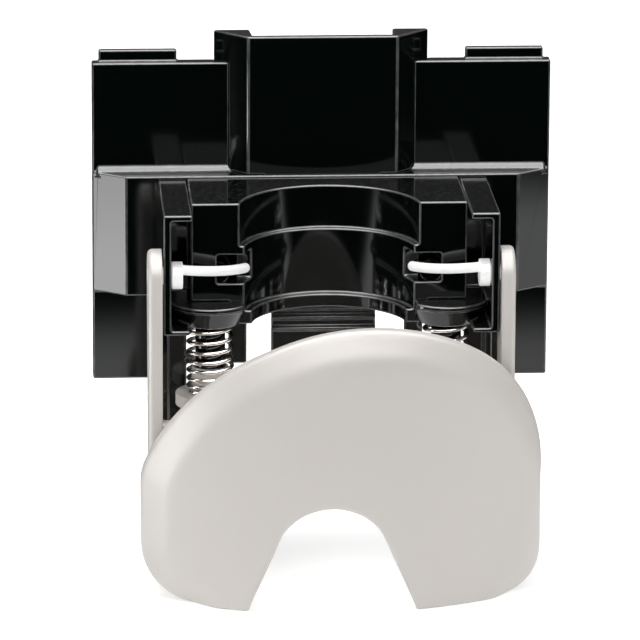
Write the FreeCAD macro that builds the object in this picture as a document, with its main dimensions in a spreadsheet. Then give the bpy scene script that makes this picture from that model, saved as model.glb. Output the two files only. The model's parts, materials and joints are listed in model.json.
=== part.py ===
"""Push-lever bracket of a wall-hung soap dispenser, as a parametric assembly (millimetres).

Frame: the origin is the centre of the back plate's rear face, +X to the right as the unit is
seen from the front, +Y into the wall behind it, +Z up. Fronts therefore lie at negative Y.
The left half is the negative X half.
"""

import FreeCAD, Part

import math
import os
import re

import Sketcher

Vector = FreeCAD.Vector
EXPRESSION_FUNCTIONS = ("sin", "cos", "sqrt", "max", "min")
OVERSHOOT = 1.0  # how far a joined solid sinks into its neighbour, or a cutting tool runs past a face

SIZES = (
    # back plate
    ("plate_width", 112.0, "overall width of the back plate"),
    ("plate_top", 40.0, "top edge of the side panels above the origin"),
    ("plate_drop", 39.5, "bottom edge of the side legs below the origin"),
    ("plate_thickness", 4.2, "thickness of panels and legs"),
    ("leg_gap_width", 82.0, "width of the open space between the side legs"),
    ("block_depth", 10.0, "front face of the raised block, from the back face"),
    ("block_face_width", 96.0, "width of the block's front face, between its slanted ends"),
    ("block_top", 13.0, "top of the raised block"),
    ("block_foot", -17.0, "foot of the raised block"),
    ("panel_foot_strip", 1.2, "slanted strip where a panel meets the block"),
    ("tab_inner", 35.3, "inner end of a hook tab"),
    ("tab_outer", 54.3, "outer end of a hook tab"),
    ("tab_rise", 2.8, "height of a hook tab above the panel"),
    ("tab_thickness", 2.0, "thickness of a hook tab"),
    # centre channel
    ("channel_face_half", 18.2, "half width of the channel's front wall"),
    ("channel_depth", 9.0, "front of the channel, from the back face"),
    ("channel_wall", 2.0, "thickness of the channel's front wall"),
    ("channel_flare", 26.3, "half width across the flared sides at the back face"),
    ("channel_inner_half", 17.0, "half width inside the channel"),
    ("channel_top", 47.3, "top of the channel"),
    ("tenon_half", 14.0, "half width of the channel's tenon"),
    ("tenon_drop", 4.0, "depth of the tenon in the block"),
    ("tenon_thickness", 3.0, "thickness of the tenon"),
    ("joint_gap", 0.1, "gap between two fixed mouldings"),
    # collar housing
    ("cradle_top", 12.5, "top of the pump shelf"),
    ("shelf_thickness", 1.8, "thickness of the pump shelf"),
    ("housing_half", 33.2, "half width of the collar housing"),
    ("housing_front", 36.4, "front face of the housing, from the back face"),
    ("wall", 2.0, "wall thickness of the housing"),
    ("bore_depth", 40.0, "axis of the pump bore, from the back face"),
    ("mouth_radius", 21.9, "radius of the bore's mouth"),
    ("bore_radius", 20.7, "radius of the bore"),
    ("lip_radius", 18.9, "radius of the bore's bottom lip"),
    ("mouth_floor", 2.0, "height of the ledge under the mouth"),
    ("lip_top", -14.0, "top of the bottom lip"),
    ("cradle_foot", -17.3, "underside of the bottom lip and of the spring cups"),
    ("collar_wall", 2.2, "wall thickness around the mouth"),
    ("slot_top", -0.2, "top of the finger slot"),
    ("slot_foot", -7.2, "foot of the finger slot"),
    ("slot_outer", 27.0, "outer end of the finger slot"),
    ("slot_reach", 4.0, "how far the finger slot reaches in behind the front wall"),
    ("slot_inner", 19.9, "inner end of the front wall beside the bore"),
    # side frames
    ("cheek_outer", 40.2, "outer face of a cheek"),
    ("cheek_thickness", 1.9, "thickness of a cheek"),
    ("cheek_front", 46.8, "front edge of a cheek, from the back face"),
    ("ledge_top", 12.2, "top of the ledge beside the shelf"),
    ("ledge_thickness", 1.5, "thickness of the ledge"),
    ("leg_wall_front", 24.0, "front of the frame's rear wall, from the back face"),
    ("plunger_room", 0.6, "least room between a plunger and the wall behind it"),
    ("leg_wall_thickness", 2.0, "thickness of the frame's rear wall"),
    ("leg_inner", 19.2, "inner edge of the rear wall"),
    ("leg_inner_foot", -30.5, "foot of the rear wall's inner part"),
    ("leg_foot", -47.0, "foot of the frame's leg"),
    ("leg_flange_front", 29.5, "front edge of the leg's side flange, from the back face"),
    ("window_inner", 23.6, "inner edge of the window behind the spring"),
    ("window_outer", 33.8, "outer edge of the window behind the spring"),
    ("window_foot", -28.0, "foot of the window"),
    ("window_top", -19.0, "top of the window"),
    ("disc_radius", 10.0, "radius of the spring cup's flange"),
    ("disc_top", -11.6, "top of the spring cup's flange"),
    ("disc_thickness", 1.3, "thickness of the spring cup's flange"),
    ("cup_radius", 9.4, "radius of the spring cup under its flange"),
    ("cup_foot_radius", 7.0, "radius of the spring cup at its foot"),
    ("corner_floor", 1.1, "thickness of the floor in a frame's front corner"),
    ("frame_boss_wall", 0.9, "wall of a side frame's screw boss around its pilot hole"),
    # springs and plungers
    ("spring_x", 28.5, "distance of a spring's axis from the middle"),
    ("spring_depth", 34.5, "axis of a spring, from the back face"),
    ("spring_radius", 5.25, "radius of the coil to the middle of its wire"),
    ("spring_wire", 0.5, "radius of the spring wire"),
    ("spring_turns", 7.5, "number of turns"),
    ("spring_start", 45.0, "where the wire's lower end lies, around its axis, in degrees"),
    ("post_radius", 3.6, "radius of a guide post"),
    ("post_foot", -36.9, "foot of a guide post"),
    ("slide_clearance", 0.1, "radial clearance of a plunger on its post"),
    ("plunger_top", -34.5, "face of the plunger that carries the spring, at rest"),
    ("plunger_radius", 8.4, "radius of the plunger's flange"),
    ("plunger_flange", 3.0, "thickness of the plunger's flange"),
    ("spigot_radius", 4.4, "radius of the plunger's spigot inside the spring"),
    ("spigot_top", -28.0, "top of the spigot, at rest"),
    ("foot_radius", 7.0, "radius of the plunger's foot"),
    # lever
    ("pivot_depth", 43.0, "lever axis, from the back face"),
    ("pivot_height", -3.3, "lever axis, above the origin"),
    ("journal_radius", 2.2, "radius of a lift pin's journal"),
    ("running_clearance", 0.06, "radial clearance of the journal in its cheek"),
    ("boss_radius", 3.3, "radius of a lift pin's boss"),
    ("boss_inner", 35.5, "inner face of the boss"),
    ("side_gap", 0.2, "gap between the boss or the arm and the cheek"),
    ("drive_width", 3.0, "width of the pin's square drive"),
    ("drive_clearance", 0.03, "clearance of the square drive on each side"),
    ("arm_inner", 40.5, "inner face of a lever arm"),
    ("arm_thickness", 3.4, "thickness of a lever arm"),
    ("eye_radius", 6.4, "radius of the arm's eye"),
    ("arm_foot", -68.0, "foot of a lever arm"),
    ("arm_front", 50.0, "front of the arm's foot, from the back face"),
    ("arm_back", 43.5, "rear edge of the arm at its foot, from the back face"),
    ("pad_inner", 33.5, "inner edge of the arm's screw pad"),
    ("pad_top", -50.0, "top of the arm's screw pad"),
    ("pad_thickness", 2.4, "thickness of the arm's screw pad"),
    ("nose_radius", 2.0, "radius of the cam nose"),
    ("nose_height", -41.3, "axis of the cam nose at rest"),
    ("nose_inner", 22.5, "inner end of the cam nose"),
    ("lever_travel", 15.0, "swing of the lever in degrees"),
    ("plunger_lift", 4.5, "rise of the plungers over the swing"),
    ("cam_gap", 0.35, "gap between the cam nose and the plunger's foot"),
    ("finger_radius", 1.2, "radius of a lift finger"),
    ("finger_root_height", -1.9, "height of the finger where it leaves the boss"),
    ("finger_bow_x", 27.6, "middle of the finger, from the middle plane"),
    ("finger_bow_depth", 41.3, "middle of the finger, from the back face"),
    ("finger_bow_height", -2.8, "height of the finger at its middle"),
    ("finger_tip_x", 20.2, "tip of the finger, from the middle plane"),
    ("finger_tip_depth", 35.0, "tip of the finger, from the back face"),
    ("finger_tip_height", -3.7, "height of the finger's tip"),
    # paddle
    ("paddle_thickness", 3.0, "wall thickness of the paddle"),
    ("paddle_front", 72.5, "crown of the paddle's face, from the back face"),
    ("paddle_bend", 78.0, "radius of the paddle's face, seen from above"),
    ("paddle_hollow", 2.0, "depth of the face's hollow, seen from the side"),
    ("paddle_foot_reach", 3.0, "how far the face's foot stands in front of its top"),
    ("rim_width", 5.0, "width of the rim that is set back"),
    ("rim_set_back", 2.4, "how far the rim is set back"),
    ("paddle_left", 46.0, "left side of the paddle"),
    ("paddle_right", 50.3, "right side of the paddle"),
    ("paddle_foot", -78.7, "foot of the paddle"),
    ("left_side_top", -49.0, "top of the straight left side"),
    ("right_side_top", -52.0, "top of the straight right side"),
    ("crest_left_x", 15.3, "left end of the top crest, left of the middle"),
    ("crest_left_z", -16.2, "height of the crest's left end"),
    ("crest_right_x", 33.7, "right end of the top crest"),
    ("crest_right_z", -18.0, "height of the crest's right end"),
    ("crest_rise", 6.4, "rise of the crest between its ends"),
    ("left_shoulder_rise", 4.6, "bulge of the left shoulder"),
    ("right_shoulder_rise", 5.4, "bulge of the right shoulder"),
    ("left_corner", 12.0, "radius of the lower left corner"),
    ("right_corner", 9.0, "radius of the lower right corner"),
    ("notch_centre", -1.0, "middle of the notch"),
    ("notch_half_foot", 20.1, "half width of the notch at its foot"),
    ("notch_half_neck", 11.9, "half width of the notch where its arch begins"),
    ("notch_spring", -60.0, "height where the notch's arch begins"),
    ("notch_rise", 6.5, "rise of the notch's arch"),
    ("paddle_boss_x", 37.5, "paddle screw bosses, from the middle"),
    ("paddle_boss_top", -54.5, "upper screw boss"),
    ("paddle_boss_foot", -63.5, "lower screw boss"),
    ("paddle_boss_radius", 3.4, "radius of a screw boss"),
    ("paddle_pilot", 5.5, "depth of the pilot hole in a paddle boss"),
    ("rim_overlap", 1.2, "how far the rim runs in behind the edge of the face"),
    # centre tongue
    ("tongue_half", 12.7, "half width of the centre tongue"),
    ("tongue_room", 0.5, "room around the tongue in the housing's back web"),
    ("tongue_thickness", 2.2, "thickness of the centre tongue"),
    ("tongue_foot", -34.0, "foot of the centre tongue"),
    ("tongue_ridge", 0.8, "height of the grip ridges"),
    ("tongue_ridge_width", 1.0, "width of a grip ridge"),
    ("tongue_foot_height", 6.0, "top of the tongue's mounting foot"),
    ("pilot_end", 0.6, "material left in front of the tongue's pilot holes"),
    # screws
    ("screw_radius", 1.5, "shank radius of the screws"),
    ("screw_head_radius", 2.9, "head radius of the screws"),
    ("screw_head", 2.0, "head height of the screws"),
    ("screw_recess", 3.2, "depth of the recess for a head in the back face"),
    ("screw_cross", 0.5, "half width of the cross recess in a screw head"),
    ("housing_screw_x", 26.0, "housing screws, from the middle"),
    ("frame_screw_x", 35.8, "side frame screws, from the middle"),
    ("tongue_screw_x", 8.0, "tongue screws, from the middle"),
    ("screw_high", 6.0, "height of the upper screws"),
    ("screw_low", -9.0, "height of the lower screws"),
    ("screw_bite", 8.0, "depth of a pilot hole in its boss"),
    ("screw_end_room", 0.2, "room between a screw's tip and the end of its pilot hole"),
)

doc = FreeCAD.newDocument("push_lever_bracket")
sheet = doc.addObject("Spreadsheet::Sheet", "Sizes")
for row, (alias, number, meaning) in enumerate(SIZES, start=1):
    sheet.set(f"A{row}", meaning)
    sheet.set(f"B{row}", str(number))
    sheet.setAlias(f"B{row}", alias)
doc.recompute()


def size(alias):
    """The number in the sheet under this alias."""
    return float(sheet.get(alias))


def formula(text):
    """An expression in which each size's name points at the sheet."""
    def point(match):
        word = match.group(0)
        return word if word in EXPRESSION_FUNCTIONS else "Sizes." + word

    return re.sub(r"[a-z_]+", point, str(text))


def bind(thing, **properties):
    """Bind properties of an object to formulas; __ stands for a dot in a property's path."""
    for path, text in properties.items():
        thing.setExpression(path.replace("__", "."), formula(text))


def place(thing, x, y, z, rotation=None):
    if rotation is not None:
        thing.Placement = FreeCAD.Placement(Vector(), rotation)
    bind(thing, Placement__Base__x=x, Placement__Base__y=y, Placement__Base__z=z)


def box(name, x, y, z):
    """A block between two formulas along each axis."""
    block = doc.addObject("Part::Box", name)
    for side, (low, high) in (("Length", x), ("Width", y), ("Height", z)):
        bind(block, **{side: f"({high}) - ({low})"})
    place(block, x[0], y[0], z[0])
    return block


TURNS = {
    "x": FreeCAD.Rotation(Vector(0, 1, 0), 90),
    "y": FreeCAD.Rotation(Vector(1, 0, 0), -90),
    "z": FreeCAD.Rotation(),
}


def along(axis, low, across):
    """The three coordinates of a point at low on an axis, with the other two given in order."""
    spots = list(across)
    spots.insert("xyz".index(axis), low)
    return spots


def rod(name, axis, across, low, high, radius):
    """A cylinder along an axis, between two formulas."""
    cylinder = doc.addObject("Part::Cylinder", name)
    bind(cylinder, Radius=radius, Height=f"({high}) - ({low})")
    place(cylinder, *along(axis, low, across), rotation=TURNS[axis])
    return cylinder


def cone(name, across, low, high, low_radius, high_radius):
    """An upright cone between two heights."""
    solid = doc.addObject("Part::Cone", name)
    bind(solid, Radius1=low_radius, Radius2=high_radius, Height=f"({high}) - ({low})")
    place(solid, *along("z", low, across))
    return solid


def plate(name, plane, corners, low, high):
    """A body padded from a sketch whose corners are formulas.

    On XY_Plane a corner is (x, y) and the pad rises. On YZ_Plane it is (y, z) and the pad
    runs to the right. low and high are the pad's two ends along that direction.
    """
    body = doc.addObject("PartDesign::Body", name)
    sketch = body.newObject("Sketcher::SketchObject", name + "_outline")
    origin = [o for o in body.Origin.OriginFeatures if o.Role == plane][0]
    sketch.AttachmentSupport = [(origin, "")]
    sketch.MapMode = "FlatFace"
    bind(sketch, AttachmentOffset__Base__z=low)
    spots = [Vector(*[float(sheet.evalExpression(formula(t))) for t in c], 0) for c in corners]
    for index, spot in enumerate(spots):
        sketch.addGeometry(Part.LineSegment(spot, spots[(index + 1) % len(spots)]), False)
    for index, corner in enumerate(corners):
        sketch.addConstraint(
            Sketcher.Constraint("Coincident", index, 2, (index + 1) % len(spots), 1))
        for kind, text, number in zip("XY", corner, spots[index]):
            fixed = sketch.addConstraint(
                Sketcher.Constraint("Distance" + kind, -1, 1, index, 1, number))
            bind(sketch, **{f"Constraints[{fixed}]": text})
    pad = body.newObject("PartDesign::Pad", name + "_pad")
    pad.Profile = sketch
    bind(pad, Length=f"({high}) - ({low})")
    body.Tip = pad
    doc.recompute()
    return body


def fuse(name, *solids):
    whole = doc.addObject("Part::MultiFuse", name)
    whole.Shapes = list(solids)
    whole.Refine = True
    return whole


def cut(name, solid, *tools):
    left = doc.addObject("Part::Cut", name)
    left.Base = solid
    left.Tool = tools[0] if len(tools) == 1 else fuse(name + "_tools", *tools)
    left.Refine = True
    return left


def common(name, first, second):
    shared = doc.addObject("Part::MultiCommon", name)
    shared.Shapes = [first, second]
    return shared


def group(name, *solids):
    """Separate solids that share one node."""
    bundle = doc.addObject("Part::Compound", name)
    bundle.Links = list(solids)
    return bundle


def shaped(name, shape):
    """A sub-part whose shape comes from Part's own functions."""
    feature = doc.addObject("Part::Feature", name)
    feature.Shape = shape
    return feature


SIDES = (("left", -1), ("right", 1))
COLLAR_OUTSIDE = "(max(mouth_radius; bore_radius) + collar_wall)"
HOUSING_BACK = "-(block_depth + joint_gap)"
WALL_FRONT = "min(leg_wall_front; spring_depth - plunger_radius - plunger_room)"


def span(side, inner, outer):
    """The low and high X of a stretch that is given for the right half."""
    return (inner, outer) if side > 0 else (f"-({outer})", f"-({inner})")


def flip(side, text):
    return text if side > 0 else f"-({text})"


def past(low, high):
    """A stretch that runs past both of its ends, for a cutting tool."""
    return (f"{low} - {OVERSHOOT}", f"{high} + {OVERSHOOT}")


# ---------------------------------------------------------------- back plate

SCREW_SPOTS = {
    "housing": ("housing_screw_x", ("screw_high", "screw_low")),
    "frame": ("frame_screw_x", ("screw_high", "screw_low")),
    "tongue": ("tongue_screw_x", ("0",)),
}


def screw_spots(kind):
    """Side, x and z of each screw of a kind."""
    x, heights = SCREW_SPOTS[kind]
    return [(side, flip(side, x), z) for _, side in SIDES for z in heights]


def make_back_plate():
    panels = box("panels", ("-plate_width / 2", "plate_width / 2"),
                 ("-plate_thickness", "0"), ("-plate_drop", "plate_top"))
    block = plate("raised_block", "XY_Plane", (
        ("-plate_width / 2", "-plate_thickness"), ("-block_face_width / 2", "-block_depth"),
        ("block_face_width / 2", "-block_depth"), ("plate_width / 2", "-plate_thickness"),
        ("plate_width / 2", "-plate_thickness / 2"), ("-plate_width / 2", "-plate_thickness / 2")),
        "block_foot", "block_top")
    strip_top = "block_top + panel_foot_strip"
    strip_front = "-(plate_thickness + panel_foot_strip)"
    sunk = f"block_top - {OVERSHOOT}"
    strip = plate("panel_foot_slope", "YZ_Plane", (
        ("-plate_thickness / 2", sunk), (strip_front, sunk), (strip_front, "block_top"),
        ("-plate_thickness", strip_top), ("-plate_thickness / 2", strip_top)),
        "-plate_width / 2 + panel_foot_strip", "plate_width / 2 - panel_foot_strip")
    tabs = [box(f"{word}_tab", span(side, "tab_inner", "tab_outer"),
                ("-tab_thickness", "0"), (f"plate_top - {OVERSHOOT}", "plate_top + tab_rise"))
            for word, side in SIDES]
    leg_gap = box("leg_gap", ("-leg_gap_width / 2", "leg_gap_width / 2"),
                  past("-block_depth", "0"), (f"-plate_drop - {OVERSHOOT}", "block_foot"))
    slope = "(channel_flare - channel_face_half) / channel_depth"
    at_face = f"channel_flare - {slope} * block_depth + joint_gap"
    channel_gap = plate("channel_gap", "XY_Plane", (
        (f"-({at_face})", "-block_depth"), (at_face, "-block_depth"),
        (f"channel_flare + {slope} * {OVERSHOOT} + joint_gap", str(OVERSHOOT)),
        (f"-(channel_flare + {slope} * {OVERSHOOT} + joint_gap)", str(OVERSHOOT))),
        "block_top", "channel_top")
    tenon_y = ("-(channel_depth + joint_gap)", "-(channel_depth - tenon_thickness - joint_gap)")
    socket = box("tenon_socket", ("-(tenon_half + joint_gap)", "tenon_half + joint_gap"),
                 tenon_y, ("block_top - tenon_drop - joint_gap", f"block_top + {OVERSHOOT}"))
    holes = []
    for kind in SCREW_SPOTS:
        for number, (_, x, z) in enumerate(screw_spots(kind), start=1):
            holes.append(rod(f"{kind}_screw_way_{number}", "y", (x, z),
                             *past("-block_depth", "0"), "screw_radius + joint_gap"))
            holes.append(rod(f"{kind}_screw_recess_{number}", "y", (x, z), "-screw_recess",
                             str(OVERSHOOT), "screw_head_radius + 2 * joint_gap"))
    solid = fuse("plate_solid", panels, block, strip, *tabs)
    return cut("back_plate", solid, leg_gap, channel_gap, socket, *holes)


# ---------------------------------------------------------------- centre channel

def make_channel():
    inner_back = "channel_inner_half + 0.5"
    shell = plate("channel_shell", "XY_Plane", (
        ("-channel_flare", "0"), ("-channel_face_half", "-channel_depth"),
        ("channel_face_half", "-channel_depth"), ("channel_flare", "0"),
        (inner_back, "0"), ("channel_inner_half", "-(channel_depth - channel_wall)"),
        ("-channel_inner_half", "-(channel_depth - channel_wall)"), (f"-({inner_back})", "0")),
        "block_top", "channel_top")
    tenon = box("channel_tenon", ("-tenon_half", "tenon_half"),
                ("-channel_depth", "-(channel_depth - tenon_thickness)"),
                ("block_top - tenon_drop", "block_top + channel_wall"))
    return fuse("centre_channel", shell, tenon)


# ---------------------------------------------------------------- collar housing

def make_collar_housing():
    front = "-housing_front"
    back = HOUSING_BACK
    walls = [
        box("pump_shelf", ("-housing_half", "housing_half"), (front, back),
            ("cradle_top - shelf_thickness", "cradle_top")),
        box("housing_back_web", ("-housing_half", "housing_half"), (f"{back} - wall", back),
            ("lip_top", "cradle_top")),
    ]
    tube = rod("collar_tube", "z", ("0", "-bore_depth"), "cradle_foot", "cradle_top",
               COLLAR_OUTSIDE)
    tube_room = box("collar_room", ("-housing_half", "housing_half"), (front, back),
                    ("cradle_foot", "cradle_top"))
    walls.append(common("collar_half", tube, tube_room))
    for word, side in SIDES:
        walls.append(box(f"{word}_front_wall", span(side, "slot_inner", "housing_half"),
                         (front, f"{front} + wall"), ("disc_top + joint_gap", "cradle_top")))
        walls.append(box(f"{word}_outer_wall", span(side, "housing_half - wall", "housing_half"),
                         (front, back), ("disc_top + joint_gap", "cradle_top")))
    for number, (_, x, z) in enumerate(screw_spots("housing"), start=1):
        walls.append(rod(f"housing_boss_{number}", "y", (x, z),
                         f"{back} - screw_bite - {OVERSHOOT}", back, "screw_head_radius"))
    solid = fuse("housing_solid", *walls)
    bores = [
        rod("bore_mouth", "z", ("0", "-bore_depth"), "mouth_floor", f"cradle_top + {OVERSHOOT}",
            "mouth_radius"),
        rod("bore", "z", ("0", "-bore_depth"), "lip_top", "mouth_floor", "bore_radius"),
        rod("bore_lip", "z", ("0", "-bore_depth"), f"cradle_foot - {OVERSHOOT}", "lip_top",
            "lip_radius"),
        box("tongue_window", ("-(tongue_half + tongue_room)", "tongue_half + tongue_room"),
            (f"{back} - wall - {OVERSHOOT}", "-block_depth"),
            (f"lip_top - {OVERSHOOT}", "tongue_foot_height + tongue_room")),
    ]
    for word, side in SIDES:
        bores.append(box(f"{word}_finger_slot", span(side, "slot_inner - 2", "slot_outer"),
                         (f"{front} - {OVERSHOOT}", f"{front} + wall + slot_reach"),
                         ("slot_foot", "slot_top")))
    for number, (_, x, z) in enumerate(screw_spots("housing"), start=1):
        bores.append(rod(f"housing_pilot_{number}", "y", (x, z), f"{back} - screw_bite",
                         f"{back} + {OVERSHOOT}", "screw_radius"))
    return cut("collar_housing", solid, *bores)


# ---------------------------------------------------------------- side frames

def make_side_frame(word, side):
    """Cheek, ledge, spring cup with its guide post, and the leg with its window."""
    cheek_inner = "cheek_outer - cheek_thickness"
    inside = "housing_half + joint_gap"
    back = HOUSING_BACK
    wall_y = (f"-{WALL_FRONT}", f"-({WALL_FRONT} - leg_wall_thickness)")
    disc_foot = "disc_top - disc_thickness"
    axis = (flip(side, "spring_x"), "-spring_depth")
    pieces = [
        box(f"{word}_cheek", span(side, cheek_inner, "cheek_outer"), ("-cheek_front", back),
            ("cradle_foot", "ledge_top")),
        box(f"{word}_ledge", span(side, inside, "cheek_outer"), ("-cheek_front", back),
            ("ledge_top - ledge_thickness", "ledge_top")),
        box(f"{word}_back_web", span(side, inside, "cheek_outer"), (f"{back} - wall", back),
            ("cradle_foot", "ledge_top")),
        box(f"{word}_recess_wall", span(side, inside, "cheek_outer"), wall_y,
            ("cradle_foot", "ledge_top")),
        box(f"{word}_rear_wall", span(side, "leg_inner", "cheek_outer"), wall_y,
            ("leg_inner_foot", disc_foot)),
        box(f"{word}_leg", span(side, "window_outer", "cheek_outer"), wall_y,
            ("leg_foot", f"leg_inner_foot + {OVERSHOOT}")),
        box(f"{word}_leg_flange", span(side, cheek_inner, "cheek_outer"),
            ("-leg_flange_front", wall_y[1]), ("leg_foot", f"cradle_foot + {OVERSHOOT}")),
        box(f"{word}_corner_floor", span(side, "spring_x + cup_foot_radius - 1.6", "cheek_outer"),
            ("-cheek_front", wall_y[1]), ("cradle_foot", "cradle_foot + corner_floor")),
        box(f"{word}_cup_deck", span(side, "leg_inner", "cheek_outer"),
            ("-housing_front", wall_y[1]), (disc_foot, "disc_top")),
        rod(f"{word}_cup_flange", "z", axis, disc_foot, "disc_top", "disc_radius"),
        cone(f"{word}_cup", axis, "cradle_foot", disc_foot, "cup_foot_radius", "cup_radius"),
        rod(f"{word}_guide_post", "z", axis, "post_foot", f"cradle_foot + {OVERSHOOT}",
            "post_radius"),
    ]
    own_screws = [(x, z) for screw_side, x, z in screw_spots("frame") if screw_side == side]
    for number, spot in enumerate(own_screws, start=1):
        pieces.append(rod(f"{word}_frame_boss_{number}", "y", spot,
                          f"{back} - screw_bite - {OVERSHOOT}", back,
                          "screw_radius + frame_boss_wall"))
    solid = fuse(f"{word}_frame_solid", *pieces)
    tools = [
        rod(f"{word}_pivot_bore", "x", ("-pivot_depth", "pivot_height"),
            *span(side, *past(cheek_inner, "cheek_outer")),
            "journal_radius + running_clearance"),
        box(f"{word}_window", span(side, "window_inner", "window_outer"),
            past(*wall_y), ("window_foot", "window_top")),
        rod(f"{word}_bore_side", "z", ("0", "-bore_depth"), "leg_foot", "cradle_top",
            "bore_radius + joint_gap"),
        common(f"{word}_collar_side",
               rod(f"{word}_collar_clear", "z", ("0", "-bore_depth"), "cradle_foot - joint_gap",
                   "cradle_top", f"{COLLAR_OUTSIDE} + joint_gap"),
               box(f"{word}_behind_front", ("-housing_half", "housing_half"),
                   ("-(housing_front + joint_gap)", "0"), past("cradle_foot", "cradle_top"))),
    ]
    for number, spot in enumerate(own_screws, start=1):
        tools.append(rod(f"{word}_frame_pilot_{number}", "y", spot, f"{back} - screw_bite",
                         f"{back} + {OVERSHOOT}", "screw_radius"))
    neighbours = [(x, z) for screw_side, x, z in screw_spots("housing") if screw_side == side]
    for number, spot in enumerate(neighbours, start=1):
        tools.append(rod(f"{word}_housing_boss_room_{number}", "y", spot,
                         f"{back} - screw_bite - {OVERSHOOT} - joint_gap", back,
                         "screw_head_radius + joint_gap"))
    return cut(f"{word}_side_frame", solid, *tools)


# ---------------------------------------------------------------- centre tongue

RIDGE_DROPS = (1.0, 3.4, 6.2)  # tops of the grip ridges, below the housing's underside


def make_tongue():
    front = f"-(bore_depth - {COLLAR_OUTSIDE} - joint_gap)"
    back = f"{front} + tongue_thickness"
    blade = box("tongue_blade", ("-tongue_half", "tongue_half"), (front, back),
                ("tongue_foot", "tongue_foot_height"))
    foot = box("tongue_mount", ("-tongue_half", "tongue_half"),
               (back, "-(block_depth + joint_gap)"), ("-tongue_foot_height", "tongue_foot_height"))
    ridges = [box(f"tongue_ridge_{number}", ("-tongue_half", "tongue_half"),
                  (f"{front} - tongue_ridge", f"{front} + tongue_thickness / 2"),
                  (f"cradle_foot - {drop} - tongue_ridge_width", f"cradle_foot - {drop}"))
              for number, drop in enumerate(RIDGE_DROPS, start=1)]
    pilots = [rod(f"tongue_pilot_{number}", "y", (x, z), f"{back} + pilot_end", "-block_depth",
                  "screw_radius")
              for number, (_, x, z) in enumerate(screw_spots("tongue"), start=1)]
    return cut("centre_tongue", fuse("tongue_solid", blade, foot, *ridges), *pilots)


# ---------------------------------------------------------------- screws

def make_screws(name, spots, face, bite):
    """Screws along -Y: face is where the head's underside rests and bite the tip's depth."""
    solids = []
    for number, (_, x, z) in enumerate(spots, start=1):
        shank = rod(f"{name}_shank_{number}", "y", (x, z), bite, face, "screw_radius")
        head = rod(f"{name}_head_{number}", "y", (x, z), face, f"{face} + screw_head",
                   "screw_head_radius")
        deep = (f"{face} + screw_head / 2", f"{face} + screw_head + {OVERSHOOT}")
        slots = [box(f"{name}_{slot}_{number}", (f"{x} - {half_x}", f"{x} + {half_x}"), deep,
                     (f"{z} - {half_z}", f"{z} + {half_z}"))
                 for slot, half_x, half_z in (("upright", "screw_cross", "screw_head_radius / 2"),
                                              ("level", "screw_head_radius / 2", "screw_cross"))]
        solids.append(cut(f"{name}_{number}", fuse(f"{name}_blank_{number}", shank, head),
                          *slots))
    return group(name, *solids)


# ---------------------------------------------------------------- springs and plungers

def make_spring(word, side):
    """A round-wire coil between the spring cup and the plunger."""
    wire, radius = size("spring_wire"), size("spring_radius")
    low = size("plunger_top") + wire
    length = size("cradle_foot") - wire - low
    helix = Part.Wire(Part.makeHelix(length / size("spring_turns"), length, radius))
    section = Part.Wire(Part.makeCircle(wire, Vector(radius, 0, 0), Vector(0, 1, 0)))
    coil = helix.makePipeShell([section], True, True)
    coil.rotate(Vector(), Vector(0, 0, 1), size("spring_start"))
    coil.translate(Vector(side * size("spring_x"), -size("spring_depth"), low))
    return shaped(f"{word}_return_spring", coil)


def cam_slope():
    """Fall of the plunger's foot for each millimetre towards the back."""
    reach = "(pivot_height - nose_height)"
    back = f"{reach} * sin(lever_travel)"
    fall = f"plunger_lift - {reach} * (1 - cos(lever_travel))"
    return f"(({fall}) / ({back}))"


def make_plunger(word, side):
    """Ring that carries the spring, slides on the guide post and is lifted by the lever."""
    axis = (flip(side, "spring_x"), "-spring_depth")
    flange_foot = "plunger_top - plunger_flange"
    slope = cam_slope()
    top_line = f"nose_height + (nose_radius + cam_gap) * sqrt(1 + {slope} ^ 2)"
    foot_block = rod(f"{word}_foot_blank", "z", axis, "nose_height - 2 * nose_radius",
                     flange_foot, "foot_radius")
    reach = "plunger_radius"
    front_y, back_y = f"-(spring_depth + {reach})", f"-(spring_depth - {reach})"
    wedge_foot = "nose_height - plunger_radius"
    wedge = plate(f"{word}_foot_slope", "YZ_Plane", (
        (front_y, f"{top_line} - {slope} * (pivot_depth - spring_depth - {reach})"),
        (back_y, f"{top_line} - {slope} * (pivot_depth - spring_depth + {reach})"),
        (back_y, wedge_foot), (front_y, wedge_foot)),
        *span(side, f"spring_x - {reach}", f"spring_x + {reach}"))
    solid = fuse(f"{word}_plunger_solid",
                 rod(f"{word}_flange", "z", axis, flange_foot, "plunger_top", "plunger_radius"),
                 rod(f"{word}_spigot", "z", axis, flange_foot, "spigot_top", "spigot_radius"),
                 cut(f"{word}_plunger_foot", foot_block, wedge))
    bore = rod(f"{word}_plunger_bore", "z", axis, "nose_height - 3 * nose_radius",
               f"spigot_top + {OVERSHOOT}", "post_radius + slide_clearance")
    return cut(f"{word}_spring_plunger", solid, bore)


# ---------------------------------------------------------------- lever

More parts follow.
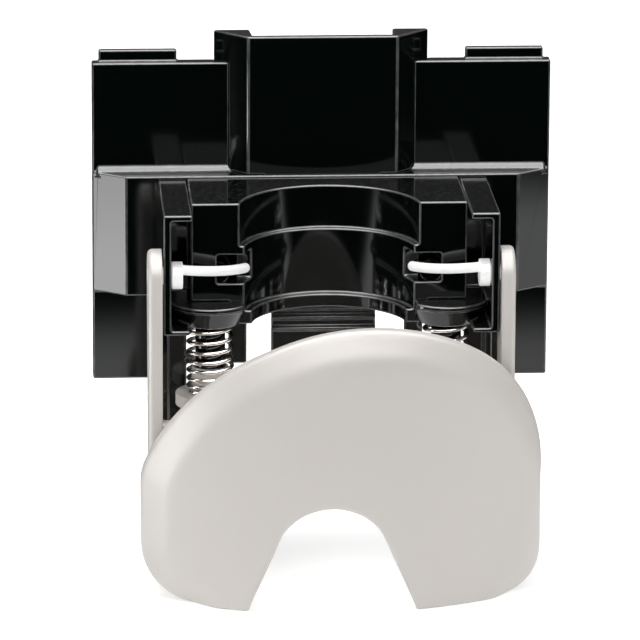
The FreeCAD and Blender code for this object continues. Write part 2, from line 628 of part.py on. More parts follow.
def make_lift_pin(word, side):
    """Pivot pin with its square drive, round boss and inward lift finger."""
    across = ("-pivot_depth", "pivot_height")
    cheek_inner = "cheek_outer - cheek_thickness"
    outer_end = "arm_inner + arm_thickness"
    half = "drive_width / 2"
    drive = box(f"{word}_drive", span(side, "cheek_outer", outer_end),
                (f"-pivot_depth - {half}", f"-pivot_depth + {half}"),
                (f"pivot_height - {half}", f"pivot_height + {half}"))
    journal = rod(f"{word}_journal", "x", across,
                  *span(side, f"{cheek_inner} - side_gap", "cheek_outer + side_gap / 2"),
                  "journal_radius")
    boss = rod(f"{word}_boss", "x", across,
               *span(side, "boss_inner", f"{cheek_inner} - side_gap"), "boss_radius")
    root = Vector(side * (size("boss_inner") + OVERSHOOT), -size("pivot_depth"),
                  size("finger_root_height"))
    bow = Vector(side * size("finger_bow_x"), -size("finger_bow_depth"),
                 size("finger_bow_height"))
    tip = Vector(side * size("finger_tip_x"), -size("finger_tip_depth"),
                 size("finger_tip_height"))
    arc = Part.Arc(root, bow, tip)
    path = Part.Wire(arc.toShape())
    start = Vector(*arc.tangent(arc.FirstParameter)[0])
    section = Part.Wire(Part.makeCircle(size("finger_radius"), root, start))
    sweep = path.makePipeShell([section], True, False)
    ball = Part.makeSphere(size("finger_radius"), tip)
    finger = shaped(f"{word}_finger", sweep.fuse(ball).removeSplitter())
    return fuse(f"{word}_lift_pin", drive, journal, boss, finger)


def make_lever_arm(word, side):
    """Arm with the eye on the pin's drive, a cam nose under the plunger and a screw pad."""
    x = span(side, "arm_inner", "arm_inner + arm_thickness")
    strap = plate(f"{word}_strap", "YZ_Plane", (
        ("-(pivot_depth + eye_radius)", "pivot_height"), ("-arm_front", "pad_top"),
        ("-arm_front", "arm_foot"), ("-arm_back", "arm_foot"),
        ("-(pivot_depth - eye_radius)", "pivot_height")), *x)
    eye = rod(f"{word}_eye", "x", ("-pivot_depth", "pivot_height"), *x, "eye_radius")
    pad = box(f"{word}_pad", span(side, "pad_inner", f"arm_inner + {OVERSHOOT}"),
              ("-arm_front", "-arm_front + pad_thickness"), ("arm_foot", "pad_top"))
    nose = rod(f"{word}_nose", "x", ("-pivot_depth", "nose_height"),
               *span(side, "nose_inner", f"arm_inner + {OVERSHOOT}"), "nose_radius")
    half = "(drive_width / 2 + drive_clearance)"
    socket = box(f"{word}_drive_socket",
                 span(side, *past("arm_inner", "arm_inner + arm_thickness")),
                 (f"-pivot_depth - {half}", f"-pivot_depth + {half}"),
                 (f"pivot_height - {half}", f"pivot_height + {half}"))
    holes = [rod(f"{word}_pad_hole_{number}", "y", (flip(side, "paddle_boss_x"), z),
                 *past("-arm_front", "-arm_front + pad_thickness"), "screw_radius + joint_gap")
             for number, z in enumerate(("paddle_boss_top", "paddle_boss_foot"), start=1)]
    return cut(f"{word}_lever_arm", fuse(f"{word}_arm_solid", strap, eye, pad, nose),
               socket, *holes)


def bulged(start, end, rise):
    """An arc between two points that bulges by rise to the left of the way from start to end."""
    way = end - start
    normal = Vector(-way.z, 0, way.x).normalize()
    middle = (start + end) * 0.5 + normal * rise
    return Part.Arc(start, middle, end).toShape()


def rounded(corner, before, after, radius):
    """The arc that rounds a corner between the directions of two neighbours, and its ends."""
    first = (before - corner).normalize()
    second = (after - corner).normalize()
    half_angle = first.getAngle(second) / 2
    reach = radius / math.tan(half_angle)
    start = corner + first * reach
    end = corner + second * reach
    middle = corner + (first + second).normalize() * (radius / math.sin(half_angle) - radius)
    return Part.Arc(start, middle, end).toShape(), start, end


def paddle_outline():
    """Closed wire in the XZ plane, clockwise from the foot of the left side."""
    def spot(x, z):
        return Vector(x, 0, z)

    left, right, foot = -size("paddle_left"), size("paddle_right"), size("paddle_foot")
    left_top = spot(left, size("left_side_top"))
    right_top = spot(right, size("right_side_top"))
    crest_left = spot(-size("crest_left_x"), size("crest_left_z"))
    crest_right = spot(size("crest_right_x"), size("crest_right_z"))
    centre = size("notch_centre")
    neck_left = spot(centre - size("notch_half_neck"), size("notch_spring"))
    neck_right = spot(centre + size("notch_half_neck"), size("notch_spring"))
    toe_left = spot(centre - size("notch_half_foot"), foot)
    toe_right = spot(centre + size("notch_half_foot"), foot)
    right_round, right_low, right_toe = rounded(
        spot(right, foot), right_top, toe_right, size("right_corner"))
    left_round, left_toe, left_low = rounded(
        spot(left, foot), toe_left, left_top, size("left_corner"))
    edges = [
        Part.makeLine(left_low, left_top),
        bulged(left_top, crest_left, size("left_shoulder_rise")),
        bulged(crest_left, crest_right, size("crest_rise")),
        bulged(crest_right, right_top, size("right_shoulder_rise")),
        Part.makeLine(right_top, right_low),
        right_round,
        Part.makeLine(right_toe, toe_right),
        Part.makeLine(toe_right, neck_right),
        bulged(neck_right, neck_left, -size("notch_rise")),
        Part.makeLine(neck_left, toe_left),
        Part.makeLine(toe_left, left_toe),
        left_round,
    ]
    return Part.Wire(Part.__sortEdges__(edges))


FACE_ABOVE_CREST = 20  # the face's curve runs past the outline, above, below and at both sides
FACE_BELOW_FOOT = 10
FACE_HALF_SWEEP = 50  # degrees


def face_slab(set_back):
    """Slab behind the paddle's curved face: hollow in side view, round in plan."""
    top = size("crest_right_z") + FACE_ABOVE_CREST
    foot = size("paddle_foot") - FACE_BELOW_FOOT
    front = -size("paddle_front") + set_back
    reach, hollow = size("paddle_foot_reach"), size("paddle_hollow")
    thickness = size("paddle_thickness")

    def side_curve(y):
        high = Vector(0, y, top)
        low = Vector(0, y - reach, foot)
        middle = (high + low) * 0.5 + Vector(0, hollow, 0)
        return Part.Arc(high, middle, low).toShape(), high, low

    face, face_high, face_low = side_curve(front)
    rear, rear_high, rear_low = side_curve(front + thickness)
    wire = Part.Wire([face, Part.makeLine(face_low, rear_low), rear,
                      Part.makeLine(rear_high, face_high)])
    axis = Vector(0, -size("paddle_front") + size("paddle_bend"), 0)
    profile = Part.Face(wire)
    profile.rotate(axis, Vector(0, 0, 1), -FACE_HALF_SWEEP)
    return profile.revolve(axis, Vector(0, 0, 1), 2 * FACE_HALF_SWEEP)


def make_paddle():
    outline = paddle_outline()
    depth = Vector(0, -2 * size("paddle_front"), 0)
    whole = Part.Face(outline).extrude(depth)
    inner = Part.Face(outline.makeOffset2D(-size("rim_width"))).extrude(depth)
    core_inset = size("rim_width") + size("rim_overlap")
    core = Part.Face(outline.makeOffset2D(-core_inset)).extrude(depth)
    skin = face_slab(0).common(inner)
    rim = face_slab(size("rim_set_back")).common(whole).cut(core)
    shape = skin.fuse(rim)
    x = size("paddle_boss_x")
    bend = size("paddle_bend")
    middle_of_wall = size("paddle_thickness") * 0.4
    wall_y = -size("paddle_front") + bend - math.sqrt(bend ** 2 - x ** 2) + middle_of_wall
    for side in (-1, 1):
        for z in (size("paddle_boss_top"), size("paddle_boss_foot")):
            boss = Part.makeCylinder(size("paddle_boss_radius"), -size("arm_front") - wall_y,
                                     Vector(side * x, wall_y, z), Vector(0, 1, 0))
            pilot = Part.makeCylinder(size("screw_radius"), size("paddle_pilot"),
                                      Vector(side * x, -size("arm_front"), z),
                                      Vector(0, -1, 0))
            shape = shape.fuse(boss).cut(pilot)
    return shaped("push_paddle", shape.removeSplitter())


# ---------------------------------------------------------------- the assembly

parts = [make_back_plate(), make_channel(), make_collar_housing(), make_tongue()]
for word, side in SIDES:
    parts += [make_side_frame(word, side), make_spring(word, side), make_plunger(word, side),
              make_lift_pin(word, side), make_lever_arm(word, side)]
parts.append(make_paddle())

seat = "-screw_recess"
rear = f"{HOUSING_BACK} - screw_bite"
tip = f"{rear} + screw_end_room"
parts.append(make_screws("housing_screws", screw_spots("housing"), seat, tip))
parts.append(make_screws("frame_screws", screw_spots("frame"), seat, tip))
tongue_back = f"-(bore_depth - {COLLAR_OUTSIDE} - joint_gap - tongue_thickness)"
tongue_bite = f"{tongue_back} + pilot_end + screw_end_room"
parts.append(make_screws("tongue_screws", screw_spots("tongue"), seat, tongue_bite))
paddle_spots = [(side, flip(side, "paddle_boss_x"), z) for _, side in SIDES
                for z in ("paddle_boss_top", "paddle_boss_foot")]
parts.append(make_screws("paddle_screws", paddle_spots, "-arm_front + pad_thickness",
                         "-arm_front - paddle_pilot + screw_end_room"))
doc.recompute()

for thing in doc.Objects:
    bad = [state for state in thing.State if state in ("Invalid", "Error")]
    if bad:
        raise RuntimeError(f"{thing.Label} failed: {bad}")

os.makedirs("parts", exist_ok=True)
for part in parts:
    if part.Shape.isNull() or not part.Shape.isValid() or not part.Shape.Solids:
        raise RuntimeError(f"{part.Label} has no valid solid")
    part.Shape.exportStep(os.path.join("parts", part.Label + ".step"))
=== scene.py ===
"""Push-lever unit of a wall-hung soap dispenser: surfaces, finishes and studio round its packed frame.

Lengths are metres unless a name says otherwise. +X is to the right as the unit is seen from the
front, +Y goes into the wall and +Z is up, so the parts nearest a user have the lowest Y.
"""

import json
import math

import bmesh
import bpy
from bpy.props import FloatProperty, FloatVectorProperty, IntProperty, PointerProperty
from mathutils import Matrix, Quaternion, Vector
from mathutils.geometry import delaunay_2d_cdt
from mathutils.kdtree import KDTree


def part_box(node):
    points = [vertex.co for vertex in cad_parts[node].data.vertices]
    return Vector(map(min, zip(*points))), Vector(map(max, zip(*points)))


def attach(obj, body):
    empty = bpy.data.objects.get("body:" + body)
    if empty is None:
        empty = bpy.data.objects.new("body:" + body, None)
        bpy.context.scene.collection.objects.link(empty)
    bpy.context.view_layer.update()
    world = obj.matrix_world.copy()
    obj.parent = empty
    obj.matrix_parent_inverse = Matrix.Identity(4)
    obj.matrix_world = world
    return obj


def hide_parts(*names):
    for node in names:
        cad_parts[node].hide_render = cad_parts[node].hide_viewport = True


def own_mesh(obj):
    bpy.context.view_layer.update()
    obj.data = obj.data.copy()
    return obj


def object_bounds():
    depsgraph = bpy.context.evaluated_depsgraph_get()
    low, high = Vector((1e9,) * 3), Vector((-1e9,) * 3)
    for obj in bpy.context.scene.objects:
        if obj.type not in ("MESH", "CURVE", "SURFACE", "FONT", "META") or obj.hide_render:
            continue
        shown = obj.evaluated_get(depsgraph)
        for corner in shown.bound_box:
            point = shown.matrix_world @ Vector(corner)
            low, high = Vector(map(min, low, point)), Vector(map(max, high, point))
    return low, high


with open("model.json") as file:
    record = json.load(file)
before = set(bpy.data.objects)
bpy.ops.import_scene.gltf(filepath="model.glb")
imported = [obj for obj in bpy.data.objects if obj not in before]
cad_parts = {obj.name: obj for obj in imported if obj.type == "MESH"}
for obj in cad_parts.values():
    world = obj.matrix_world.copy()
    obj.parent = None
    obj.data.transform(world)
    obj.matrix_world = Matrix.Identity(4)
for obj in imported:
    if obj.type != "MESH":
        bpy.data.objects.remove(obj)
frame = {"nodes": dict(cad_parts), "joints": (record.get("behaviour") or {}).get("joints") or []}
CAD_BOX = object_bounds()

bl_info = {
    "name": "Dispenser Push-Lever Unit",
    "version": (1, 0, 0),
    "blender": (4, 5, 0),
    "location": "View3D > Sidebar > Push Lever",
    "description": "Moulded bracket, spring plungers and push paddle of a soap dispenser",
    "category": "Add Mesh",
}

NODES = frame["nodes"]
MM = 0.001
FULL_TURN = 2 * math.pi
EDGE_MASK = "rounded_edge"  # face attribute: 1 on a moulding's rounded edges, 0 elsewhere; the finishes paint a highlight on these faces
SIDES = ("left", "right")


# ---------------------------------------------------------------- sizes and colours


class MouldingSizes(bpy.types.PropertyGroup):
    """Rounding of the moulded edges."""

    edge_radius: FloatProperty(
        name="Edge radius", description="Rounding of the black mouldings' edges",
        default=0.45 * MM, min=0.0, unit="LENGTH", precision=5)
    arm_radius: FloatProperty(
        name="Arm edge radius", description="Rounding of a lever arm's outer edges",
        default=1.2 * MM, min=0.0, unit="LENGTH", precision=5)
    small_radius: FloatProperty(
        name="Small edge radius", description="Rounding of the pins, plungers and inner edges",
        default=0.22 * MM, min=0.0, unit="LENGTH", precision=5)
    edge_steps: IntProperty(
        name="Edge steps", description="Faces across a rounded edge", default=3, min=1, max=8)


class PaddleSizes(bpy.types.PropertyGroup):
    """Outline and face of the push paddle."""

    bend: FloatProperty(
        name="Bend radius", description="Radius of the face seen from above",
        default=78 * MM, unit="LENGTH", precision=5)
    thickness: FloatProperty(
        name="Wall", description="Thickness of the paddle's wall",
        default=3 * MM, unit="LENGTH", precision=5)
    reach: FloatProperty(
        name="Foot reach", description="How far the face's foot stands in front of its top",
        default=3 * MM, unit="LENGTH", precision=5)
    hollow: FloatProperty(
        name="Hollow", description="Depth of the face's hollow seen from the side",
        default=2 * MM, unit="LENGTH", precision=5)
    rim_depth: FloatProperty(
        name="Rim depth", description="How far the outer edge falls back from the face",
        default=3.0 * MM, unit="LENGTH", precision=5)
    rim_left: FloatProperty(
        name="Left rim", description="Width of the falling rim on the left side",
        default=6.8 * MM, unit="LENGTH", precision=5)
    rim_top: FloatProperty(
        name="Top rim", description="Width of the falling rim along the crest",
        default=8.6 * MM, unit="LENGTH", precision=5)
    rim_right: FloatProperty(
        name="Right rim", description="Width of the falling rim on the right side",
        default=5.4 * MM, unit="LENGTH", precision=5)
    edge_roll: FloatProperty(
        name="Edge roll", description="Radius of the roll round the front edge",
        default=0.8 * MM, unit="LENGTH", precision=5)
    back_roll: FloatProperty(
        name="Back roll", description="Radius of the roll round the rear edge",
        default=0.4 * MM, unit="LENGTH", precision=5)
    spacing: FloatProperty(
        name="Point spacing", description="Distance between neighbouring points of the face",
        default=1.0 * MM, min=0.4 * MM, unit="LENGTH", precision=5)


class SpringSizes(bpy.types.PropertyGroup):
    """The two return springs."""

    wire_radius: FloatProperty(
        name="Wire radius", description="Radius of the spring wire",
        default=0.5 * MM, unit="LENGTH", precision=5)
    turns: FloatProperty(
        name="Turns", description="Number of turns between the seats", default=7.5, min=2.0)
    crowding: FloatProperty(
        name="Crowding", description="1 spaces the turns evenly, more crowds them at the plunger",
        default=1.25, min=1.0, max=2.0)
    steps_per_turn: IntProperty(
        name="Steps per turn", description="Straight pieces in one turn of the wire",
        default=56, min=12, max=128)


class ScrewSizes(bpy.types.PropertyGroup):
    """Cross-recessed pan-head screws."""

    head_radius: FloatProperty(
        name="Head radius", description="Radius of a screw's head",
        default=2.9 * MM, unit="LENGTH", precision=5)
    head_height: FloatProperty(
        name="Head height", description="Height of a screw's head",
        default=2.0 * MM, unit="LENGTH", precision=5)
    shank_radius: FloatProperty(
        name="Shank radius", description="Radius over the thread",
        default=1.5 * MM, unit="LENGTH", precision=5)
    thread_pitch: FloatProperty(
        name="Thread pitch", description="Distance between two threads",
        default=1.0 * MM, min=0.3 * MM, unit="LENGTH", precision=5)


class FinishColours(bpy.types.PropertyGroup):
    """Colours of the finishes."""

    black: FloatVectorProperty(
        name="Black", description="Gloss black mouldings", subtype="COLOR", size=4,
        default=(0.0012, 0.0026, 0.0022, 1.0), min=0.0, max=1.0)
    grey: FloatVectorProperty(
        name="Pale grey", description="Paddle, arms and plungers", subtype="COLOR", size=4,
        default=(0.62, 0.59, 0.56, 1.0), min=0.0, max=1.0)
    white: FloatVectorProperty(
        name="White", description="Lift pins", subtype="COLOR", size=4,
        default=(0.93, 0.93, 0.92, 1.0), min=0.0, max=1.0)
    wire: FloatVectorProperty(
        name="Spring wire", description="Bright drawn wire", subtype="COLOR", size=4,
        default=(0.66, 0.62, 0.59, 1.0), min=0.0, max=1.0)
    zinc: FloatVectorProperty(
        name="Zinc", description="Plated screws", subtype="COLOR", size=4,
        default=(0.55, 0.56, 0.58, 1.0), min=0.0, max=1.0)
    # Colour of the dusting on up-facing faces; on the black mouldings it is also a painted sheen where
    # their tops would mirror the room
    dust_and_sheen: FloatVectorProperty(
        name="Dust", description="Fine dust on faces that look up", subtype="COLOR", size=4,
        default=(0.30, 0.26, 0.265, 1.0), min=0.0, max=1.0)
    floor: FloatVectorProperty(
        name="Floor", description="Studio floor", subtype="COLOR", size=4,
        default=(0.92, 0.92, 0.92, 1.0), min=0.0, max=1.0)


class StageSettings(bpy.types.PropertyGroup):
    """Camera and studio lights."""

    azimuth: FloatProperty(
        name="Azimuth", description="Camera's turn round the unit", subtype="ANGLE",
        default=math.radians(-3.7))
    elevation: FloatProperty(
        name="Elevation", description="Camera's height above the horizon", subtype="ANGLE",
        default=math.radians(15.0))
    roll: FloatProperty(
        name="Roll", description="Camera's lean to its left", subtype="ANGLE",
        default=math.radians(0.32))
    distance: FloatProperty(
        name="Distance", description="From the camera to the point it looks at",
        default=1.4, unit="LENGTH", precision=4)
    lens: FloatProperty(
        name="Lens", description="Focal length in millimetres", default=323.2, min=20.0)
    aim: FloatVectorProperty(
        name="Aim", description="Point looked at, from the middle of the unit's box", size=3,
        default=(-1.1 * MM, 16.1 * MM, -5.2 * MM), unit="LENGTH", precision=5)
    ambient: FloatProperty(
        name="Ambient", description="Even light from all round", default=0.3)
    top_light: FloatProperty(
        name="Top light", description="Brightness of the overhead softbox", default=5.2)
    front_light: FloatProperty(
        name="Front light", description="Brightness of the front softbox", default=1.3)
    side_light: FloatProperty(
        name="Side lights", description="Brightness of the two side softboxes", default=0.75)
    left_card: FloatProperty(
        name="Left card", description="Brightness of the card that the left slope mirrors",
        default=5.5)


SETTINGS = (
    ("moulding_sizes", MouldingSizes),
    ("paddle_sizes", PaddleSizes),
    ("spring_sizes", SpringSizes),
    ("screw_sizes", ScrewSizes),
    ("finish_colours", FinishColours),
    ("stage_settings", StageSettings),
)


# ---------------------------------------------------------------- shader node groups


def node_at(tree, kind, column, row, **settings):
    """A new node on a tidy grid, with its properties set."""
    node = tree.nodes.new(kind)
    node.location = (column * 220, -row * 220)
    for name, value in settings.items():
        setattr(node, name, value)
    return node


def fill(node, **values):
    """Set input sockets by their names, with _ for a space."""
    for name, value in values.items():
        node.inputs[name.replace("_", " ")].default_value = value


def join(tree, *links):
    """Join sockets, each row naming a node and its output, then a node and its input."""
    for source, output, target, socket in links:
        tree.links.new(source.outputs[output], target.inputs[socket])


NUMBER, SHAPE = "NodeSocketFloat", "NodeSocketGeometry"


def new_group(name, inputs, outputs, kind="ShaderNodeTree"):
    """A node group with (name, socket type, default) inputs and (name, socket type) outputs."""
    tree = bpy.data.node_groups.new(name, kind)
    for label, socket, default in inputs:
        item = tree.interface.new_socket(label, in_out="INPUT", socket_type=socket)
        if default is not None:
            item.default_value = default
    for label, socket in outputs:
        tree.interface.new_socket(label, in_out="OUTPUT", socket_type=socket)
    return tree, tree.nodes.new("NodeGroupInput"), tree.nodes.new("NodeGroupOutput")


def moulded_skin_group():
    """Roughness and height of a moulded or drawn surface: slow waves under a fine grain."""
    tree, given, result = new_group(
        "Moulded Skin",
        (("Wave Scale", NUMBER, 60.0), ("Grain Scale", NUMBER, 2500.0),
         ("Grain Share", NUMBER, 0.3), ("Roughness", NUMBER, 0.15),
         ("Variation", NUMBER, 0.04)),
        (("Roughness", NUMBER), ("Height", NUMBER)))
    place = node_at(tree, "ShaderNodeTexCoord", 0, 1)
    waves = node_at(tree, "ShaderNodeTexNoise", 1, 0)
    fill(waves, Detail=2.0, Roughness=0.45)
    grain = node_at(tree, "ShaderNodeTexNoise", 1, 2)
    fill(grain, Detail=3.0, Roughness=0.6)
    height = node_at(tree, "ShaderNodeMix", 2, 1, data_type="FLOAT")
    spread = node_at(tree, "ShaderNodeMapRange", 2, 2)
    fill(spread, To_Min=-1.0, To_Max=1.0)
    change = node_at(tree, "ShaderNodeMath", 3, 2, operation="MULTIPLY")
    total = node_at(tree, "ShaderNodeMath", 4, 2, operation="ADD")
    for noise, scale in ((waves, "Wave Scale"), (grain, "Grain Scale")):
        join(
            tree,
            (place, "Object", noise, "Vector"),
            (given, scale, noise, "Scale"))
    join(
        tree,
        (given, "Grain Share", height, "Factor"),
        (waves, "Fac", height, "A"),
        (grain, "Fac", height, "B"),
        (waves, "Fac", spread, "Value"),
        (spread, "Result", change, 0),
        (given, "Variation", change, 1),
        (given, "Roughness", total, 0),
        (change, "Value", total, 1),
        (total, "Value", result, "Roughness"),
        (height, "Result", result, "Height"))
    return tree


def dust_and_sheen_group():
    """A mask of fine dusting and painted sheen: strongest on faces that look up, broken by noise."""
    tree, given, result = new_group(
        "Dust And Sheen",
        (("Amount", NUMBER, 0.2), ("Scale", NUMBER, 900.0)),
        (("Mask", NUMBER),))
    surface = node_at(tree, "ShaderNodeNewGeometry", 0, 0)
    split = node_at(tree, "ShaderNodeSeparateXYZ", 1, 0)
    upward = node_at(tree, "ShaderNodeMapRange", 2, 0)
    fill(upward, From_Min=0.3, From_Max=1.0)
    place = node_at(tree, "ShaderNodeTexCoord", 0, 1)
    specks = node_at(tree, "ShaderNodeTexNoise", 1, 1)
    fill(specks, Detail=5.0, Roughness=0.7)
    clumps = node_at(tree, "ShaderNodeMapRange", 2, 1)
    fill(clumps, From_Min=0.45, From_Max=0.75)
    both = node_at(tree, "ShaderNodeMath", 3, 0, operation="MULTIPLY")
    scaled = node_at(tree, "ShaderNodeMath", 4, 0, operation="MULTIPLY")
    join(
        tree,
        (surface, "Normal", split, "Vector"),
        (split, "Z", upward, "Value"),
        (place, "Object", specks, "Vector"),
        (given, "Scale", specks, "Scale"),
        (specks, "Fac", clumps, "Value"),
        (upward, "Result", both, 0),
        (clumps, "Result", both, 1),
        (both, "Value", scaled, 0),
        (given, "Amount", scaled, 1),
        (scaled, "Value", result, "Mask"))
    return tree


def edge_highlight_group():
    """A mask for a painted highlight on the rounded edges, broken by noise."""
    tree, given, result = new_group(
        "Painted Edge Highlight",
        (("Amount", NUMBER, 0.5), ("Scale", NUMBER, 400.0)),
        (("Mask", NUMBER),))
    ridge = node_at(tree, "ShaderNodeAttribute", 1, 0, attribute_name=EDGE_MASK)
    place = node_at(tree, "ShaderNodeTexCoord", 0, 1)
    patches = node_at(tree, "ShaderNodeTexNoise", 1, 1)
    fill(patches, Detail=4.0)
    both = node_at(tree, "ShaderNodeMath", 2, 0, operation="MULTIPLY")
    scaled = node_at(tree, "ShaderNodeMath", 3, 0, operation="MULTIPLY")
    join(
        tree,
        (place, "Object", patches, "Vector"),
        (given, "Scale", patches, "Scale"),
        (ridge, "Fac", both, 0),
        (patches, "Fac", both, 1),
        (both, "Value", scaled, 0),
        (given, "Amount", scaled, 1),
        (scaled, "Value", result, "Mask"))
    return tree


# ---------------------------------------------------------------- finishes

FINISHES = {}
GROUPS = {}


def finish_material(name, colour, edge_highlight_colour, dust_and_sheen_colour, skin, bump, dust_and_sheen, edge_highlight, metal=0.0,
                    glow=0.0):
    """A moulded or plated finish: base colour, painted edge highlight, a dusting with painted sheen,
    skin roughness and bump.

    skin is the Moulded Skin group's wave scale, grain scale, grain share, roughness and variation; the
    two amounts after bump set the dusting with its painted sheen and the painted edge highlight, and
    glow is a painted glow, an emission in the base colour.
    """
    material = bpy.data.materials.new(name)
    material.use_nodes = True
    tree = material.node_tree
    tree.nodes.clear()
    output = node_at(tree, "ShaderNodeOutputMaterial", 6, 0)
    surface = node_at(tree, "ShaderNodeBsdfPrincipled", 5, 0)
    # glow paints light into the finish as an emission in its own colour; only the pins get any
    fill(surface, Metallic=metal, IOR=1.5, Emission_Color=colour, Emission_Strength=glow)
    surface_skin, dust_and_sheen_mask, edge_highlight_mask = (
        node_at(tree, "ShaderNodeGroup", 1, row, node_tree=GROUPS[label])
        for row, label in enumerate(("Moulded Skin", "Dust And Sheen", "Painted Edge Highlight")))
    for socket, value in zip(surface_skin.inputs, skin):
        socket.default_value = value
    fill(dust_and_sheen_mask, Amount=dust_and_sheen)
    fill(edge_highlight_mask, Amount=edge_highlight)
    # painted highlight: the rounded edges take the lighter second colour
    edge_highlight_mix = node_at(tree, "ShaderNodeMix", 3, 1, data_type="RGBA")
    edge_highlight_mix.inputs["A"].default_value = colour
    edge_highlight_mix.inputs["B"].default_value = edge_highlight_colour
    # dusting on up-facing faces, on the black mouldings also a painted sheen of their tops
    dust_and_sheen_mix = node_at(tree, "ShaderNodeMix", 4, 1, data_type="RGBA")
    dust_and_sheen_mix.inputs["B"].default_value = dust_and_sheen_colour
    relief = node_at(tree, "ShaderNodeBump", 4, 2)
    fill(relief, Strength=1.0, Distance=bump)
    join(
        tree,
        (edge_highlight_mask, "Mask", edge_highlight_mix, "Factor"),
        (edge_highlight_mix, "Result", dust_and_sheen_mix, "A"),
        (dust_and_sheen_mask, "Mask", dust_and_sheen_mix, "Factor"),
        (dust_and_sheen_mix, "Result", surface, "Base Color"),
        (surface_skin, "Roughness", surface, "Roughness"),
        (surface_skin, "Height", relief, "Height"),
        (relief, "Normal", surface, "Normal"),
        (surface, "BSDF", output, "Surface"))
    FINISHES[name] = material


class PUSHLEVER_OT_finishes(bpy.types.Operator):
    """Build the shader groups and the five finishes"""

    bl_idname = "pushlever.finishes"
    bl_label = "Finishes"

    def execute(self, context):
        colours = context.scene.finish_colours
        for group in (moulded_skin_group(), dust_and_sheen_group(), edge_highlight_group()):
            GROUPS[group.name] = group
        # Each finish's second colour is a painted highlight on its rounded edges, and on black_gloss
        # the dusting is also a painted sheen on up-facing tops.
        finish_material(
            "black_gloss", colours.black, (0.13, 0.13, 0.13, 1), colours.dust_and_sheen,
            skin=(45.0, 1800.0, 0.12, 0.09, 0.03), bump=0.012 * MM, dust_and_sheen=0.11, edge_highlight=1.0)
        finish_material(
            "pale_grey", colours.grey, (0.74, 0.72, 0.69, 1), colours.dust_and_sheen,
            skin=(70.0, 4200.0, 0.75, 0.36, 0.06), bump=0.02 * MM, dust_and_sheen=0.03, edge_highlight=0.2)
        # painted glow: white_acetal emits a little light so the pins look brighter than their lighting
        # makes them
        finish_material(
            "white_acetal", colours.white, (0.9, 0.9, 0.88, 1), colours.dust_and_sheen,
            skin=(120.0, 3000.0, 0.4, 0.26, 0.05), bump=0.01 * MM, dust_and_sheen=0.01, edge_highlight=0.1, glow=0.22)
        finish_material(
            "spring_steel", colours.wire, (0.8, 0.78, 0.75, 1), colours.dust_and_sheen,
            skin=(260.0, 5200.0, 0.6, 0.17, 0.07), bump=0.008 * MM, dust_and_sheen=0.0, edge_highlight=0.3, metal=1.0)
        finish_material(
            "screw_steel", colours.zinc, (0.75, 0.75, 0.76, 1), colours.dust_and_sheen,
            skin=(320.0, 6000.0, 0.5, 0.33, 0.1), bump=0.01 * MM, dust_and_sheen=0.02, edge_highlight=0.5, metal=1.0)
        return {"FINISHED"}


# ---------------------------------------------------------------- helpers for pieces


def scene_object(name, data):
    """A new object in the scene that shows the given mesh, light or camera."""
    shown = bpy.data.objects.new(name, data)
    bpy.context.scene.collection.objects.link(shown)
    return shown


def discard(source):
    """Remove an object and its mesh."""
    spare = source.data
    bpy.data.objects.remove(source)
    bpy.data.meshes.remove(spare)


def mesh_of(work, name):
    """The worked faces as a mesh."""
    mesh = bpy.data.meshes.new(name)
    work.to_mesh(mesh)
    work.free()
    return mesh


def add_piece(name, mesh, slot, body, node):
    """Show a mesh as a piece of the object, riding on its body in place of its CAD node."""
    if not mesh.materials:
        mesh.materials.append(FINISHES[slot])
    piece = scene_object(name, mesh)
    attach(piece, body)
    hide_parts(node)
    return piece


def settled_mesh(source, name):
    """The source object's evaluated mesh as a plain mesh; the source is removed."""
    evaluated = source.evaluated_get(bpy.context.evaluated_depsgraph_get())
    mesh = bpy.data.meshes.new_from_object(evaluated)
    mesh.name = name
    discard(source)
    if not mesh.polygons:
        raise RuntimeError(f"{name} came out without faces")
    return mesh


SHARP_ANGLE = math.radians(28)  # edges turned more than this are rounded
FLAT_ANGLE = math.radians(0.6)  # faces turned less than this are one face
WELD = 0.004 * MM
ROUNDED, FIRST_FLAT = 1, 2  # face marks: on a rounded edge, and on the first flat with holes
ROUNDED_REACH = 1.6  # how much further than elsewhere a rounded edge's normals blend


def mark_holed_flats(work):
    """Mark each flat that has holes, which takes several faces, and list the flats' normals."""
    seams = {}
    for edge in work.edges:
        if len(edge.link_faces) == 2 and edge.calc_face_angle(0.0) < FLAT_ANGLE:
            for face, other in (edge.link_faces, reversed(edge.link_faces)):
                seams.setdefault(face, set()).add(other)
    flats = []
    found = set()
    for start in seams:
        if start in found:
            continue
        waiting, members = [start], []
        while waiting:
            face = waiting.pop()
            if face not in found:
                found.add(face)
                members.append(face)
                waiting += seams[face]
        for face in members:
            face.material_index = FIRST_FLAT + len(flats)
        flats.append(start.normal.copy())
    bmesh.ops.triangulate(work, faces=sorted(found, key=lambda face: face.index))
    return flats


